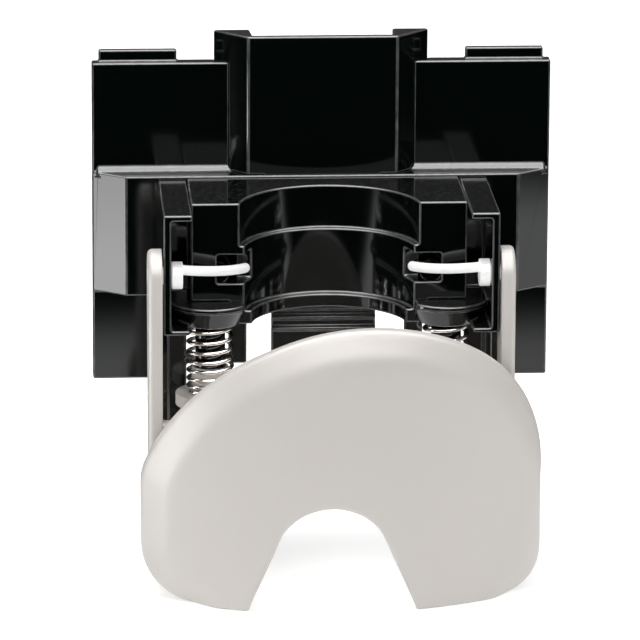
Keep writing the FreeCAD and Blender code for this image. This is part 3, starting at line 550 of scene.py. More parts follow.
def refill_flats(mesh, flats):
    """Lay fresh triangles inside the outlines of the flats that have holes.

    A flat whose outline crosses itself, or can't be closed, keeps the faces it has.
    """
    work = bmesh.new()
    work.from_mesh(mesh)
    for mark, normal in enumerate(flats, FIRST_FLAT):
        faces = [face for face in work.faces if face.material_index == mark]
        inside = set(faces)
        rim = [edge for edge in work.edges
               if sum(face in inside for face in edge.link_faces) == 1]
        corners = list(dict.fromkeys(vert for edge in rim for vert in edge.verts))
        across = normal.orthogonal().normalized()
        up = normal.cross(across)
        spots = [Vector((vert.co.dot(across), vert.co.dot(up))) for vert in corners]
        place = {vert: k for k, vert in enumerate(corners)}
        sides = [(place[edge.verts[0]], place[edge.verts[1]]) for edge in rim]
        _, _, triangles, origins, _, _ = delaunay_2d_cdt(spots, sides, [], 0, WELD / 1000)
        if not all(origins):
            continue
        worn_out = [tuple(face.verts) for face in faces]
        bmesh.ops.delete(work, geom=faces, context="FACES_ONLY")
        fresh = []
        for triangle in triangles:
            middle = sum((spots[origins[k][0]] for k in triangle), Vector((0, 0))) / 3
            if crossed_sides(middle, spots, sides) % 2:
                fresh.append(work.faces.new([corners[origins[k][0]] for k in triangle]))
        if all(len(edge.link_faces) == 2 for edge in rim):
            for face in fresh:
                face.normal_update()
                if face.normal.dot(normal) < 0:
                    face.normal_flip()
        else:
            bmesh.ops.delete(work, geom=fresh, context="FACES_ONLY")
            fresh = [work.faces.new(verts) for verts in worn_out]
        for face in fresh:
            face.smooth = True
    spare = [edge for edge in work.edges if not edge.link_faces]
    bmesh.ops.delete(work, geom=spare, context="EDGES")
    work.to_mesh(mesh)
    work.free()


def crossed_sides(spot, spots, sides):
    """How many sides a line from the spot towards +X crosses."""
    crossed = 0
    for first, second in sides:
        start, end = spots[first], spots[second]
        if (start.y > spot.y) != (end.y > spot.y):
            share = (spot.y - start.y) / (end.y - start.y)
            crossed += start.x + share * (end.x - start.x) > spot.x
    return crossed


def rounded_copy(node, radius, steps, share=None):
    """A copy of a CAD node with its sharp edges rounded.

    share(edge) gives the part of the radius that an edge gets, and every sharp edge gets all
    of it without one.
    """
    work = bmesh.new()
    work.from_mesh(NODES[node].data)
    bmesh.ops.remove_doubles(work, verts=work.verts, dist=WELD)
    bmesh.ops.dissolve_degenerate(work, edges=work.edges, dist=WELD)
    bmesh.ops.dissolve_limit(work, angle_limit=FLAT_ANGLE, verts=work.verts, edges=work.edges)
    flats = mark_holed_flats(work)
    weights = work.edges.layers.float.new("bevel_weight_edge")
    for edge in work.edges:
        if len(edge.link_faces) == 2 and edge.calc_face_angle(0.0) > SHARP_ANGLE:
            edge[weights] = share(edge) if share else 1.0
    for face in work.faces:
        face.smooth = True
    mesh = mesh_of(work, f"rounded_{node}")
    for _ in range(FIRST_FLAT + len(flats)):
        mesh.materials.append(None)
    source = scene_object(f"rounding_{node}", mesh)
    bevel = source.modifiers.new("Rounded edges", "BEVEL")
    bevel.limit_method = "WEIGHT"
    bevel.width = radius
    bevel.segments = steps
    bevel.use_clamp_overlap = False
    bevel.miter_outer = "MITER_ARC"
    bevel.material = ROUNDED
    bevel.loop_slide = False
    rounded = settled_mesh(source, f"{node}_mesh")
    refill_flats(rounded, flats)
    edge_mask = rounded.attributes.new(EDGE_MASK, "FLOAT", "FACE")
    for face in rounded.polygons:
        face.material_index = int(face.material_index == ROUNDED)
        edge_mask.data[face.index].value = float(face.material_index)
    rounded.normals_split_custom_set(moulded_normals(rounded))
    for face in rounded.polygons:
        face.material_index = 0
    rounded.materials.clear()
    return rounded


def moulded_normals(mesh):
    """A normal for each face corner: true on the faces, blending across the rounded edges."""
    around = [[] for _ in mesh.vertices]
    for face in mesh.polygons:
        corners = face.vertices
        for k, corner in enumerate(corners):
            spot = mesh.vertices[corner].co
            before = mesh.vertices[corners[k - 1]].co - spot
            after = mesh.vertices[corners[(k + 1) % len(corners)]].co - spot
            opening = before.angle(after, 0.0)
            around[corner].append((face.normal, opening, face.material_index))
    normals = []
    for face in mesh.polygons:
        reach = SHARP_ANGLE * (ROUNDED_REACH if face.material_index else 1.0)
        for corner in face.vertices:
            near = [entry for entry in around[corner] if face.normal.angle(entry[0], 0.0) < reach]
            plain = [entry for entry in near if not entry[2]]
            total = Vector()
            for normal, opening, _ in plain or near:
                total += normal * opening
            normals.append(total.normalized() if total.length > 0 else face.normal)
    return normals


# ---------------------------------------------------------------- black mouldings

MOULDINGS = ("back_plate", "centre_channel", "collar_housing", "centre_tongue",
             "left_side_frame", "right_side_frame")


class PUSHLEVER_OT_mouldings(bpy.types.Operator):
    """Round the edges of the bracket's black mouldings"""

    bl_idname = "pushlever.mouldings"
    bl_label = "Black Mouldings"

    def execute(self, context):
        sizes = context.scene.moulding_sizes
        for node in MOULDINGS:
            mesh = rounded_copy(node, sizes.edge_radius, sizes.edge_steps)
            add_piece(f"{node}_moulding", mesh, "black_gloss", "bracket", node)
        return {"FINISHED"}


# ---------------------------------------------------------------- lever arms, pins, plungers


class PUSHLEVER_OT_levers(bpy.types.Operator):
    """Make the lever arms, the lift pins and the spring plungers"""

    bl_idname = "pushlever.levers"
    bl_label = "Levers and Plungers"

    def execute(self, context):
        sizes = context.scene.moulding_sizes
        small_share = sizes.small_radius / sizes.arm_radius
        for side in SIDES:
            low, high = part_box(f"{side}_lever_arm")
            outer = low.x if side == "left" else high.x

            def arm_share(edge, outer=outer):
                near = all(abs(v.co.x - outer) < sizes.arm_radius / 10 for v in edge.verts)
                return 1.0 if near else small_share

            mesh = rounded_copy(f"{side}_lever_arm", sizes.arm_radius, 2 * sizes.edge_steps,
                                arm_share)
            add_piece(f"{side}_arm_moulding", mesh, "pale_grey", "lever", f"{side}_lever_arm")
            mesh = rounded_copy(f"{side}_lift_pin", sizes.small_radius, sizes.edge_steps)
            add_piece(f"{side}_pin_moulding", mesh, "white_acetal", "lever", f"{side}_lift_pin")
            mesh = rounded_copy(f"{side}_spring_plunger", sizes.small_radius, sizes.edge_steps)
            add_piece(f"{side}_plunger_moulding", mesh, "pale_grey", f"{side}_plunger",
                      f"{side}_spring_plunger")
        return {"FINISHED"}


# ---------------------------------------------------------------- springs


def spring_tree():
    """Geometry nodes that wind a wire into a coil whose turns crowd towards its foot."""
    tree, given, result = new_group(
        "Wound Spring",
        (("Geometry", SHAPE, None), ("Coil Radius", NUMBER, 0.005),
         ("Wire Radius", NUMBER, 0.0005), ("Length", NUMBER, 0.016),
         ("Turns", NUMBER, 7.5), ("Crowding", NUMBER, 1.25),
         ("Start Angle", NUMBER, 0.0), ("Steps", "NodeSocketInt", 400),
         ("Foot", "NodeSocketVector", None), ("Finish", "NodeSocketMaterial", None)),
        (("Geometry", SHAPE),), "GeometryNodeTree")

    def maths(operation, column, row, first, second=None):
        node = node_at(tree, "ShaderNodeMath", column, row, operation=operation)
        for socket, value in zip(node.inputs, (first, second)):
            if isinstance(value, bpy.types.NodeSocket):
                tree.links.new(value, socket)
            elif value is not None:
                socket.default_value = value
        return node.outputs["Value"]

    line = node_at(tree, "GeometryNodeCurvePrimitiveLine", 1, 0)
    points = node_at(tree, "GeometryNodeResampleCurve", 2, 0)
    join(
        tree,
        (line, "Curve", points, "Curve"),
        (given, "Steps", points, "Count"))
    along = node_at(tree, "GeometryNodeSplineParameter", 1, 2).outputs["Factor"]
    turned = maths("MULTIPLY", 2, 2, along, given.outputs["Turns"])
    swept = maths("MULTIPLY", 3, 2, turned, FULL_TURN)
    angle = maths("ADD", 4, 2, swept, given.outputs["Start Angle"])
    rise = maths("POWER", 2, 3, along, given.outputs["Crowding"])
    spot = node_at(tree, "ShaderNodeCombineXYZ", 6, 2)
    for axis, wave in (("X", "COSINE"), ("Y", "SINE")):
        share = maths(wave, 5, 2 + (axis == "Y"), angle)
        reach = maths("MULTIPLY", 6, 3 + (axis == "Y"), share, given.outputs["Coil Radius"])
        tree.links.new(reach, spot.inputs[axis])
    height = maths("MULTIPLY", 3, 3, rise, given.outputs["Length"])
    tree.links.new(height, spot.inputs["Z"])
    placed = node_at(tree, "ShaderNodeVectorMath", 7, 2, operation="ADD")
    join(
        tree,
        (spot, "Vector", placed, 0),
        (given, "Foot", placed, 1))
    wound = node_at(tree, "GeometryNodeSetPosition", 7, 0)
    join(
        tree,
        (points, "Curve", wound, "Geometry"),
        (placed, "Vector", wound, "Position"))
    section = node_at(tree, "GeometryNodeCurvePrimitiveCircle", 7, 1)
    section.inputs["Resolution"].default_value = 14
    tree.links.new(given.outputs["Wire Radius"], section.inputs["Radius"])
    swept_wire = node_at(tree, "GeometryNodeCurveToMesh", 8, 0)
    swept_wire.inputs["Fill Caps"].default_value = True
    join(
        tree,
        (wound, "Geometry", swept_wire, "Curve"),
        (section, "Curve", swept_wire, "Profile Curve"))
    smooth = node_at(tree, "GeometryNodeSetShadeSmooth", 9, 0)
    real = node_at(tree, "GeometryNodeRealizeInstances", 10, 0)
    painted = node_at(tree, "GeometryNodeSetMaterial", 11, 0)
    join(
        tree,
        (swept_wire, "Mesh", smooth, "Geometry"),
        (smooth, "Geometry", real, "Geometry"),
        (real, "Geometry", painted, "Geometry"),
        (given, "Finish", painted, "Material"),
        (painted, "Geometry", result, "Geometry"))
    return tree


def grown_mesh(name, tree, values):
    """A plain mesh grown by a geometry node tree from nothing but its named inputs."""
    source = scene_object(f"growing_{name}", bpy.data.meshes.new(f"seed_{name}"))
    modifier = source.modifiers.new("Grown", "NODES")
    modifier.node_group = tree
    sockets = {item.name: item.identifier for item in tree.interface.items_tree
               if item.item_type == "SOCKET" and item.in_out == "INPUT"}
    for label, value in values.items():
        modifier[sockets[label]] = value
    return settled_mesh(source, name)


SPRING_START = math.radians(200)  # where the wire's lower end lies round the spring's axis


class PUSHLEVER_OT_springs(bpy.types.Operator):
    """Wind the two return springs between the cups and the plungers"""

    bl_idname = "pushlever.springs"
    bl_label = "Return Springs"

    def execute(self, context):
        sizes = context.scene.spring_sizes
        tree = spring_tree()
        wire = sizes.wire_radius
        for side in SIDES:
            low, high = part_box(f"{side}_return_spring")
            free = high.z - low.z
            axis = (low + high) / 2
            seat = sum(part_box(f"{side}_spring_plunger"), Vector()) / 2
            mesh = grown_mesh(f"{side}_spring_mesh", tree, {
                "Coil Radius": (high.x - low.x) / 2 - wire,
                "Wire Radius": wire,
                "Length": free - 2 * wire,
                "Turns": sizes.turns,
                "Crowding": sizes.crowding,
                "Start Angle": SPRING_START,
                "Steps": int(sizes.turns * sizes.steps_per_turn),
                "Foot": (axis.x, seat.y, low.z + wire),
                "Finish": FINISHES["spring_steel"],
            })
            spring = add_piece(f"{side}_spring_coil", mesh, "spring_steel", f"{side}_plunger",
                               f"{side}_return_spring")
            joint = next(j for j in frame["joints"] if j["name"] == f"{side}_plunger_slide")
            lift = max(joint["range_m"])
            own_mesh(spring)
        return {"FINISHED"}


# ---------------------------------------------------------------- screws


SCREW_CREASE = math.radians(35)  # a screw's edges turned more than this stay crisp
TURNED_STEPS = 28  # straight pieces round a screw
DOME_STEPS = 8
THREAD_CORE = 0.78  # radius under the thread, as a share of the radius over it
CROSS_REACH, CROSS_WIDTH = 0.62, 0.15  # a cross arm's length and half width in head radii
CROSS_MOUTH, CROSS_FOOT = (1.15, 0.2), (0.4, -0.75)  # its widening and height in head heights


def turned_profile(work, profile):
    """Spin (radius, depth) points round the Y axis; depth runs towards -Y."""
    rings = []
    for radius, depth in profile:
        if radius == 0:
            rings.append([work.verts.new((0.0, -depth, 0.0))])
            continue
        angles = [FULL_TURN * k / TURNED_STEPS for k in range(TURNED_STEPS)]
        rings.append([work.verts.new((radius * math.cos(a), -depth, radius * math.sin(a)))
                      for a in angles])
    for first, second in zip(rings, rings[1:]):
        for k in range(TURNED_STEPS):
            corners = [first[k % len(first)], first[(k + 1) % len(first)],
                       second[(k + 1) % len(second)], second[k % len(second)]]
            corners = list(dict.fromkeys(corners))
            if len(corners) > 2:
                work.faces.new(corners)


def cross_recess(head_radius, head_height):
    """A tapered cross that cuts a screw's drive, as an object."""
    work = bmesh.new()
    reach, half = head_radius * CROSS_REACH, head_radius * CROSS_WIDTH
    quarter = ((half, reach), (half, half), (reach, half))
    corners = []
    for turn in range(4):
        for x, z in quarter:
            for _ in range(turn):
                x, z = z, -x
            corners.append((x, z))
    top, foot = ([work.verts.new((wide * x, level * head_height, wide * z)) for x, z in corners]
                 for wide, level in (CROSS_MOUTH, CROSS_FOOT))
    work.faces.new(top)
    work.faces.new(foot[::-1])
    for k in range(len(top)):
        ahead = (k + 1) % len(top)
        work.faces.new((top[k], foot[k], foot[ahead], top[ahead]))
    bmesh.ops.recalc_face_normals(work, faces=work.faces)
    return scene_object("cross_recess", mesh_of(work, "cross_recess"))


def screw_blank(sizes, length):
    """One screw as an object: domed head with its cross, threaded shank and point, head at +Y."""
    head, rise, shank = sizes.head_radius, sizes.head_height, sizes.shank_radius
    core = shank * THREAD_CORE
    profile = [(0.0, 0.0)]
    for k in range(1, DOME_STEPS + 1):
        angle = math.pi / 2 * k / DOME_STEPS
        profile.append((head * (0.55 + 0.45 * math.sin(angle)),
                        rise * 0.6 * (1 - math.cos(angle))))
    profile += [(head, rise * 0.95), (head * 0.97, rise), (shank, rise), (core, rise * 1.15)]
    tip = length - 1.2 * shank
    depth = rise * 1.3
    while depth + sizes.thread_pitch < tip:
        profile += [(core, depth), (shank, depth + 0.45 * sizes.thread_pitch),
                    (core, depth + 0.8 * sizes.thread_pitch)]
        depth += sizes.thread_pitch
    profile += [(core, tip), (core * 0.4, length * 0.99), (0.0, length)]
    work = bmesh.new()
    turned_profile(work, profile)
    bmesh.ops.recalc_face_normals(work, faces=work.faces)
    screw = scene_object("screw_blank", mesh_of(work, "screw_blank"))
    cutter = cross_recess(head, rise)
    drive = screw.modifiers.new("Drive", "BOOLEAN")
    drive.object = cutter
    drive.operation = "DIFFERENCE"
    drive.solver = "EXACT"
    cut = settled_mesh(screw, "screw_cut")
    discard(cutter)
    cut.shade_smooth()
    cut.set_sharp_from_angle(angle=SCREW_CREASE)
    return scene_object("screw_blank", cut)


def screw_row_tree():
    """Geometry nodes that set a screw at both sides and at each of one or two heights."""
    tree, given, result = new_group(
        "Set Screws",
        (("Geometry", SHAPE, None), ("Screw", "NodeSocketObject", None),
         ("Spread", NUMBER, 0.05), ("Rows", "NodeSocketInt", 2),
         ("Row Gap", NUMBER, 0.015), ("Seat", "NodeSocketVector", None),
         ("Finish", "NodeSocketMaterial", None)),
        (("Geometry", SHAPE),), "GeometryNodeTree")
    grid = node_at(tree, "GeometryNodeMeshLine", 1, 0, mode="OFFSET")
    grid.inputs["Count"].default_value = 2
    across = node_at(tree, "ShaderNodeCombineXYZ", 0, 2)
    join(
        tree,
        (given, "Spread", across, "X"),
        (across, "Vector", grid, "Offset"),
        (given, "Seat", grid, "Start Location"))
    column = node_at(tree, "GeometryNodeMeshLine", 1, 1, mode="OFFSET")
    upward = node_at(tree, "ShaderNodeCombineXYZ", 0, 3)
    join(
        tree,
        (given, "Row Gap", upward, "Z"),
        (given, "Rows", column, "Count"),
        (upward, "Vector", column, "Offset"))
    pairs = node_at(tree, "GeometryNodeInstanceOnPoints", 2, 0)
    join(
        tree,
        (column, "Mesh", pairs, "Points"),
        (grid, "Mesh", pairs, "Instance"))
    spots = node_at(tree, "GeometryNodeRealizeInstances", 3, 0)
    tree.links.new(pairs.outputs["Instances"], spots.inputs["Geometry"])
    screw = node_at(tree, "GeometryNodeObjectInfo", 2, 1)
    tree.links.new(given.outputs["Screw"], screw.inputs["Object"])
    angle = node_at(tree, "FunctionNodeRandomValue", 2, 2, data_type="FLOAT")
    angle.inputs["Seed"].default_value = 7
    for socket, value in zip([s for s in angle.inputs if s.name in ("Min", "Max")
                              and s.enabled], (0.0, FULL_TURN / 4)):
        socket.default_value = value
    turn = node_at(tree, "ShaderNodeCombineXYZ", 3, 2)
    tree.links.new(next(s for s in angle.outputs if s.enabled), turn.inputs["Y"])
    set_in = node_at(tree, "GeometryNodeInstanceOnPoints", 4, 0)
    join(
        tree,
        (spots, "Geometry", set_in, "Points"),
        (screw, "Geometry", set_in, "Instance"),
        (turn, "Vector", set_in, "Rotation"))
    real = node_at(tree, "GeometryNodeRealizeInstances", 5, 0)
    painted = node_at(tree, "GeometryNodeSetMaterial", 6, 0)
    join(
        tree,
        (set_in, "Instances", real, "Geometry"),
        (real, "Geometry", painted, "Geometry"),
        (given, "Finish", painted, "Material"),
        (painted, "Geometry", result, "Geometry"))
    return tree


SCREW_GROUPS = {
    "housing_screws": "bracket",
    "frame_screws": "bracket",
    "tongue_screws": "bracket",
    "paddle_screws": "lever",
}


class PUSHLEVER_OT_screws(bpy.types.Operator):
    """Set the four groups of screws in their recesses"""

    bl_idname = "pushlever.screws"
    bl_label = "Screws"

    def execute(self, context):
        sizes = context.scene.screw_sizes
        tree = screw_row_tree()
        for node, body in SCREW_GROUPS.items():
            low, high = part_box(node)
            head = sizes.head_radius
            gap = (high.z - head) - (low.z + head)
            blank = screw_blank(sizes, high.y - low.y)
            mesh = grown_mesh(f"{node}_mesh", tree, {
                "Screw": blank,
                "Spread": high.x - low.x - 2 * head,
                "Rows": 2 if gap > head else 1,
                "Row Gap": gap,
                "Seat": (low.x + head, high.y, low.z + head),
                "Finish": FINISHES["screw_steel"],
            })
            discard(blank)
            add_piece(f"{node}_set", mesh, "screw_steel", body, node)
        return {"FINISHED"}


# ---------------------------------------------------------------- push paddle


def flat(x, z):
    """A point of the outline, in millimetres across and up."""
    return Vector((x * MM, z * MM))


def arc_between(start, end, bulge, spacing):
    """Points from start up to, but without, end, on an arc that bulges to the left."""
    chord = end - start
    half = chord.length / 2
    if abs(bulge) < WELD:
        count = max(1, round(chord.length / spacing))
        return [start.lerp(end, k / count) for k in range(count)]
    radius = (half ** 2 + bulge ** 2) / (2 * bulge)
    normal = Vector((-chord.y, chord.x)).normalized()
    centre = (start + end) / 2 + normal * (bulge - radius)
    first = math.atan2(start.y - centre.y, start.x - centre.x)
    sweep = -4 * math.atan2(bulge, half)
    count = max(2, round(abs(radius * sweep) / spacing))
    return [centre + Vector((math.cos(first + sweep * k / count),
                             math.sin(first + sweep * k / count))) * abs(radius)
            for k in range(count)]


def corner_cut(corner, before, after, radius):
    """The two ends of a rounded corner and the bulge of the arc between them."""
    first, second = (before - corner).normalized(), (after - corner).normalized()
    half_angle = first.angle(second) / 2
    reach = radius / math.tan(half_angle)
    bulge = radius * (1 - math.sin(half_angle))
    return corner + first * reach, corner + second * reach, bulge


# the outline's corners in millimetres, clockwise, and the bulge of the side after each
LEFT_TOP, CREST_LEFT, CREST_RIGHT, RIGHT_TOP = (
    flat(-46.0, -49.0), flat(-15.3, -16.2), flat(33.7, -18.0), flat(50.3, -52.0))
RIGHT_FOOT, LEFT_FOOT = flat(50.3, -78.7), flat(-46.0, -78.7)
NOTCH_RIGHT, NECK_RIGHT, NECK_LEFT, NOTCH_LEFT = (
    flat(19.1, -78.7), flat(10.9, -60.0), flat(-12.9, -60.0), flat(-21.1, -78.7))
SHOULDER_BULGES = (4.6 * MM, 6.4 * MM, 5.4 * MM)  # left shoulder, crest, right shoulder
NOTCH_RISE = 6.5 * MM
LEFT_CORNER, RIGHT_CORNER, TOE_CORNER = 12.0 * MM, 9.0 * MM, 0.9 * MM
SHORT_ARC = 2 * MM  # an arc with a shorter chord gets points four times as close


def paddle_outline(spacing):
    """The outline as points, and which of them lie on the rim that falls back."""
    right = corner_cut(RIGHT_FOOT, RIGHT_TOP, NOTCH_RIGHT, RIGHT_CORNER)
    left = corner_cut(LEFT_FOOT, NOTCH_LEFT, LEFT_TOP, LEFT_CORNER)
    right_toe = corner_cut(NOTCH_RIGHT, RIGHT_FOOT, NECK_RIGHT, TOE_CORNER)
    left_toe = corner_cut(NOTCH_LEFT, NECK_LEFT, LEFT_FOOT, TOE_CORNER)
    rim = [(left[0], left[1], left[2]), (left[1], LEFT_TOP, 0.0),
           (LEFT_TOP, CREST_LEFT, SHOULDER_BULGES[0]),
           (CREST_LEFT, CREST_RIGHT, SHOULDER_BULGES[1]),
           (CREST_RIGHT, RIGHT_TOP, SHOULDER_BULGES[2]),
           (RIGHT_TOP, right[0], 0.0), (right[0], right[1], right[2])]
    foot = [(right[1], right_toe[0], 0.0), (right_toe[0], right_toe[1], right_toe[2]),
            (right_toe[1], NECK_RIGHT, 0.0), (NECK_RIGHT, NECK_LEFT, -NOTCH_RISE),
            (NECK_LEFT, left_toe[0], 0.0), (left_toe[0], left_toe[1], left_toe[2]),
            (left_toe[1], left[0], 0.0)]
    points, on_rim = [], []
    for sides, is_rim in ((rim, True), (foot, False)):
        for start, end, bulge in sides:
            short = abs(bulge) > 0 and (end - start).length < SHORT_ARC
            run = arc_between(start, end, bulge, spacing / 4 if short else spacing)
            points += run
            on_rim += [is_rim] * len(run)
    return points, on_rim


EASING_ROUNDS = 12


def eased(points, on_rim):
    """Smooth the rim's points so that its arcs flow into each other."""
    for _ in range(EASING_ROUNDS):
        before = [p.copy() for p in points]
        for k, moves in enumerate(on_rim):
            ahead = (k + 1) % len(points)
            if moves and on_rim[k - 1] and on_rim[ahead]:
                points[k] = before[k] * 0.5 + (before[k - 1] + before[ahead]) * 0.25
    return points


def inward(points):
    """The inward direction at each point of a clockwise outline."""
    ways = []
    for k, point in enumerate(points):
        along = (points[(k + 1) % len(points)] - points[k - 1]).normalized()
        ways.append(Vector((along.y, -along.x)))
    return ways


def inside_rows(loop, spacing):
    """Points of a staggered grid inside a closed loop, row by row."""
    low = min(p.y for p in loop)
    high = max(p.y for p in loop)
    row_gap = spacing * math.sqrt(3) / 2
    found = []
    for row in range(1, int((high - low) / row_gap) + 1):
        level = low + row * row_gap
        crossings = []
        for first, second in zip(loop, loop[1:] + loop[:1]):
            if (first.y > level) != (second.y > level):
                share = (level - first.y) / (second.y - first.y)
                crossings.append(first.x + share * (second.x - first.x))
        crossings.sort()
        for start, end in zip(crossings[::2], crossings[1::2]):
            column = math.ceil(start / spacing)
            while column * spacing < end:
                found.append(Vector(((column + 0.5 * (row % 2)) * spacing, level)))
                column += 1
    return found


def quarter_roll(distance, radius):
    """How far a rolled edge has fallen at a distance from the outline."""
    if distance >= radius:
        return 0.0
    return radius - math.sqrt(max(0.0, radius ** 2 - (radius - distance) ** 2))


BOSS_RADIUS = 3.4 * MM
BOSS_ROUNDING = 0.4 * MM
BOSS_STEPS = 40
BOSS_SINK = 0.45  # how far a boss runs into the wall, as a share of the wall's thickness


def screw_boss(work, middle, rear, face_y, sizes):
    """A closed round boss from the arm's pad to the inside of the paddle's wall."""
    wall = sizes.thickness * BOSS_SINK
    nearly = 0.3 * BOSS_ROUNDING
    levels = ((BOSS_RADIUS - BOSS_ROUNDING, rear), (BOSS_RADIUS - nearly, rear - nearly),
              (BOSS_RADIUS, rear - BOSS_ROUNDING), (BOSS_RADIUS, None))
    rings = []
    for radius, level in levels:
        ring = []
        for k in range(BOSS_STEPS):
            angle = FULL_TURN * k / BOSS_STEPS
            spot = middle + Vector((math.cos(angle), math.sin(angle))) * radius
            depth = face_y(spot) + wall if level is None else level
            ring.append(work.verts.new((spot.x, depth, spot.y)))
        rings.append(ring)
    faces = []
    for first, second in zip(rings, rings[1:]):
        for k in range(BOSS_STEPS):
            ahead = (k + 1) % BOSS_STEPS
            faces.append(work.faces.new((first[k], first[ahead], second[ahead], second[k])))
    for ring, depth in ((rings[0], rear), (rings[-1], face_y(middle) + wall)):
        hub = work.verts.new((middle.x, depth, middle.y))
        for k in range(BOSS_STEPS):
            faces.append(work.faces.new((ring[k], ring[(k + 1) % BOSS_STEPS], hub)))
    bmesh.ops.recalc_face_normals(work, faces=faces)


RING_SHARES = (0.0, 0.06, 0.18, 0.36, 0.6, 1.0)  # rings across the edge's roll
BACK_SHARES = (0.0, 0.3, 1.0)
FACE_TOP, FACE_FOOT = 2.0 * MM, -88.7 * MM  # heights between which the face's hollow is drawn
RIM_BLEND = 0.45  # share of the rim in which its slope blends into the face
RIM_GROWTH = 1.5  # power with which the rim widens from the sides to the crest
OUTLINE_SHARE = 0.8  # the outline's point spacing as a share of the face's
EDGE_GAP = 0.55  # the face's points keep this share of their spacing from the outline
PADDLE_CREASE = math.radians(40)  # paddle edges turned more than this stay crisp


def paddle_mesh(sizes):
    """Closed shell of the paddle: a bent, hollow face, a falling rim, rolled edges and bosses."""
    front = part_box("push_paddle")[0].y
    outline, on_rim = paddle_outline(sizes.spacing * OUTLINE_SHARE)
    outline = eased(outline, on_rim)
    ways = inward(outline)
    rings = [[p + w * sizes.edge_roll * share for p, w in zip(outline, ways)]
             for share in RING_SHARES]
    loop = rings[-1]
    spread = KDTree(len(loop))
    for k, point in enumerate(loop):
        spread.insert((point.x, point.y, 0), k)
    spread.balance()
    inner = [p for p in inside_rows(loop, sizes.spacing)
             if spread.find((p.x, p.y, 0))[2] > sizes.spacing * EDGE_GAP]
    rim = KDTree(sum(on_rim))
    widths = {}
    for k, point in enumerate(outline):
        if on_rim[k]:
            rim.insert((point.x, point.y, 0), k)
            up = max(0.0, -ways[k].y)
            side = sizes.rim_left if ways[k].x > 0 else sizes.rim_right
            widths[k] = side + (sizes.rim_top - side) * up ** RIM_GROWTH
    rim.balance()

    def set_back_of(point):
        """How far the face stands back, with the rim's fall and without the edge's roll."""
        bend = sizes.bend - math.sqrt(sizes.bend ** 2 - point.x ** 2)
        share = (FACE_TOP - point.y) / (FACE_TOP - FACE_FOOT)
        hollow = 4 * sizes.hollow * share * (1 - share)
        _, nearest, gap = rim.find((point.x, point.y, 0))
        within = max(0.0, 1 - gap / widths[nearest])
        straight = within - RIM_BLEND / 2 if within > RIM_BLEND else within ** 2 / (2 * RIM_BLEND)
        fall = sizes.rim_depth * straight / (1 - RIM_BLEND / 2)
        return bend - sizes.reach * share + hollow + fall

    crown = front - min(set_back_of(p) for p in loop + inner)

    def face_y(point):
        return crown + set_back_of(point)

    work = bmesh.new()
    count = len(outline)

    def lay_ring(points, set_back):
        return [work.verts.new((p.x, face_y(p) + set_back, p.y)) for p in points]

    front_rings = [lay_ring(ring, quarter_roll(sizes.edge_roll * share, sizes.edge_roll))
                   for ring, share in zip(rings, RING_SHARES)]
    back_rings = []
    for share in BACK_SHARES:
        points = [p + w * sizes.back_roll * share for p, w in zip(outline, ways)]
        roll = quarter_roll(sizes.back_roll * share, sizes.back_roll)
        back_rings.append(lay_ring(points, sizes.thickness - roll))
    back_rings.append(lay_ring(loop, sizes.thickness))

    def band(first, second):
        for k in range(count):
            ahead = (k + 1) % count
            work.faces.new((first[k], second[k], second[ahead], first[ahead]))

    for first, second in zip(front_rings, front_rings[1:]):
        band(first, second)
    band(back_rings[0], front_rings[0])
    for first, second in zip(back_rings, back_rings[1:]):
        band(second, first)
    plane = loop + inner
    edges = [(k, (k + 1) % count) for k in range(count)]
    _, _, triangles, _, _, _ = delaunay_2d_cdt(plane, edges, [], 1, WELD / 100)
    for ring, set_back, turned in ((front_rings[-1], 0.0, False),
                                   (back_rings[-1], sizes.thickness, True)):
        sheet = ring + lay_ring(inner, set_back)
        for triangle in triangles:
            corners = [sheet[k] for k in triangle]
            work.faces.new(corners[::-1] if turned else corners)
    bmesh.ops.recalc_face_normals(work, faces=work.faces)
    low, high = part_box("paddle_screws")
    head = bpy.context.scene.screw_sizes.head_radius
    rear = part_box("left_lever_arm")[0].y
    for x in (low.x + head, high.x - head):
        for z in (low.z + head, high.z - head):
            screw_boss(work, Vector((x, z)), rear, face_y, sizes)
    for face in work.faces:
        face.smooth = True
    mesh = mesh_of(work, "paddle_mesh")
    mesh.set_sharp_from_angle(angle=PADDLE_CREASE)
    return mesh


class PUSHLEVER_OT_paddle(bpy.types.Operator):
    """Form the push paddle with its bent face, falling rim and screw bosses"""

    bl_idname = "pushlever.paddle"
    bl_label = "Push Paddle"

    def execute(self, context):
        mesh = paddle_mesh(context.scene.paddle_sizes)
        add_piece("paddle_moulding", mesh, "pale_grey", "lever", "push_paddle")
        return {"FINISHED"}


# ---------------------------------------------------------------- stage


def softbox(name, spot, target, width, height, brightness, mirrored=False):
    """A rectangular light that is either only seen in reflections or only lights surfaces."""
    data = bpy.data.lights.new(name, "AREA")
    data.shape = "RECTANGLE"
    data.size, data.size_y = width, height
    data.energy = brightness * 4 * width * height
    lamp = scene_object(name, data)
    lamp.location = spot
    way = Vector(target) - Vector(spot)
    lamp.rotation_mode = "QUATERNION"
    lamp.rotation_quaternion = way.to_track_quat("-Z", "Y")
    lamp.visible_camera = False
    lamp.visible_glossy = mirrored
    lamp.visible_diffuse = not mirrored


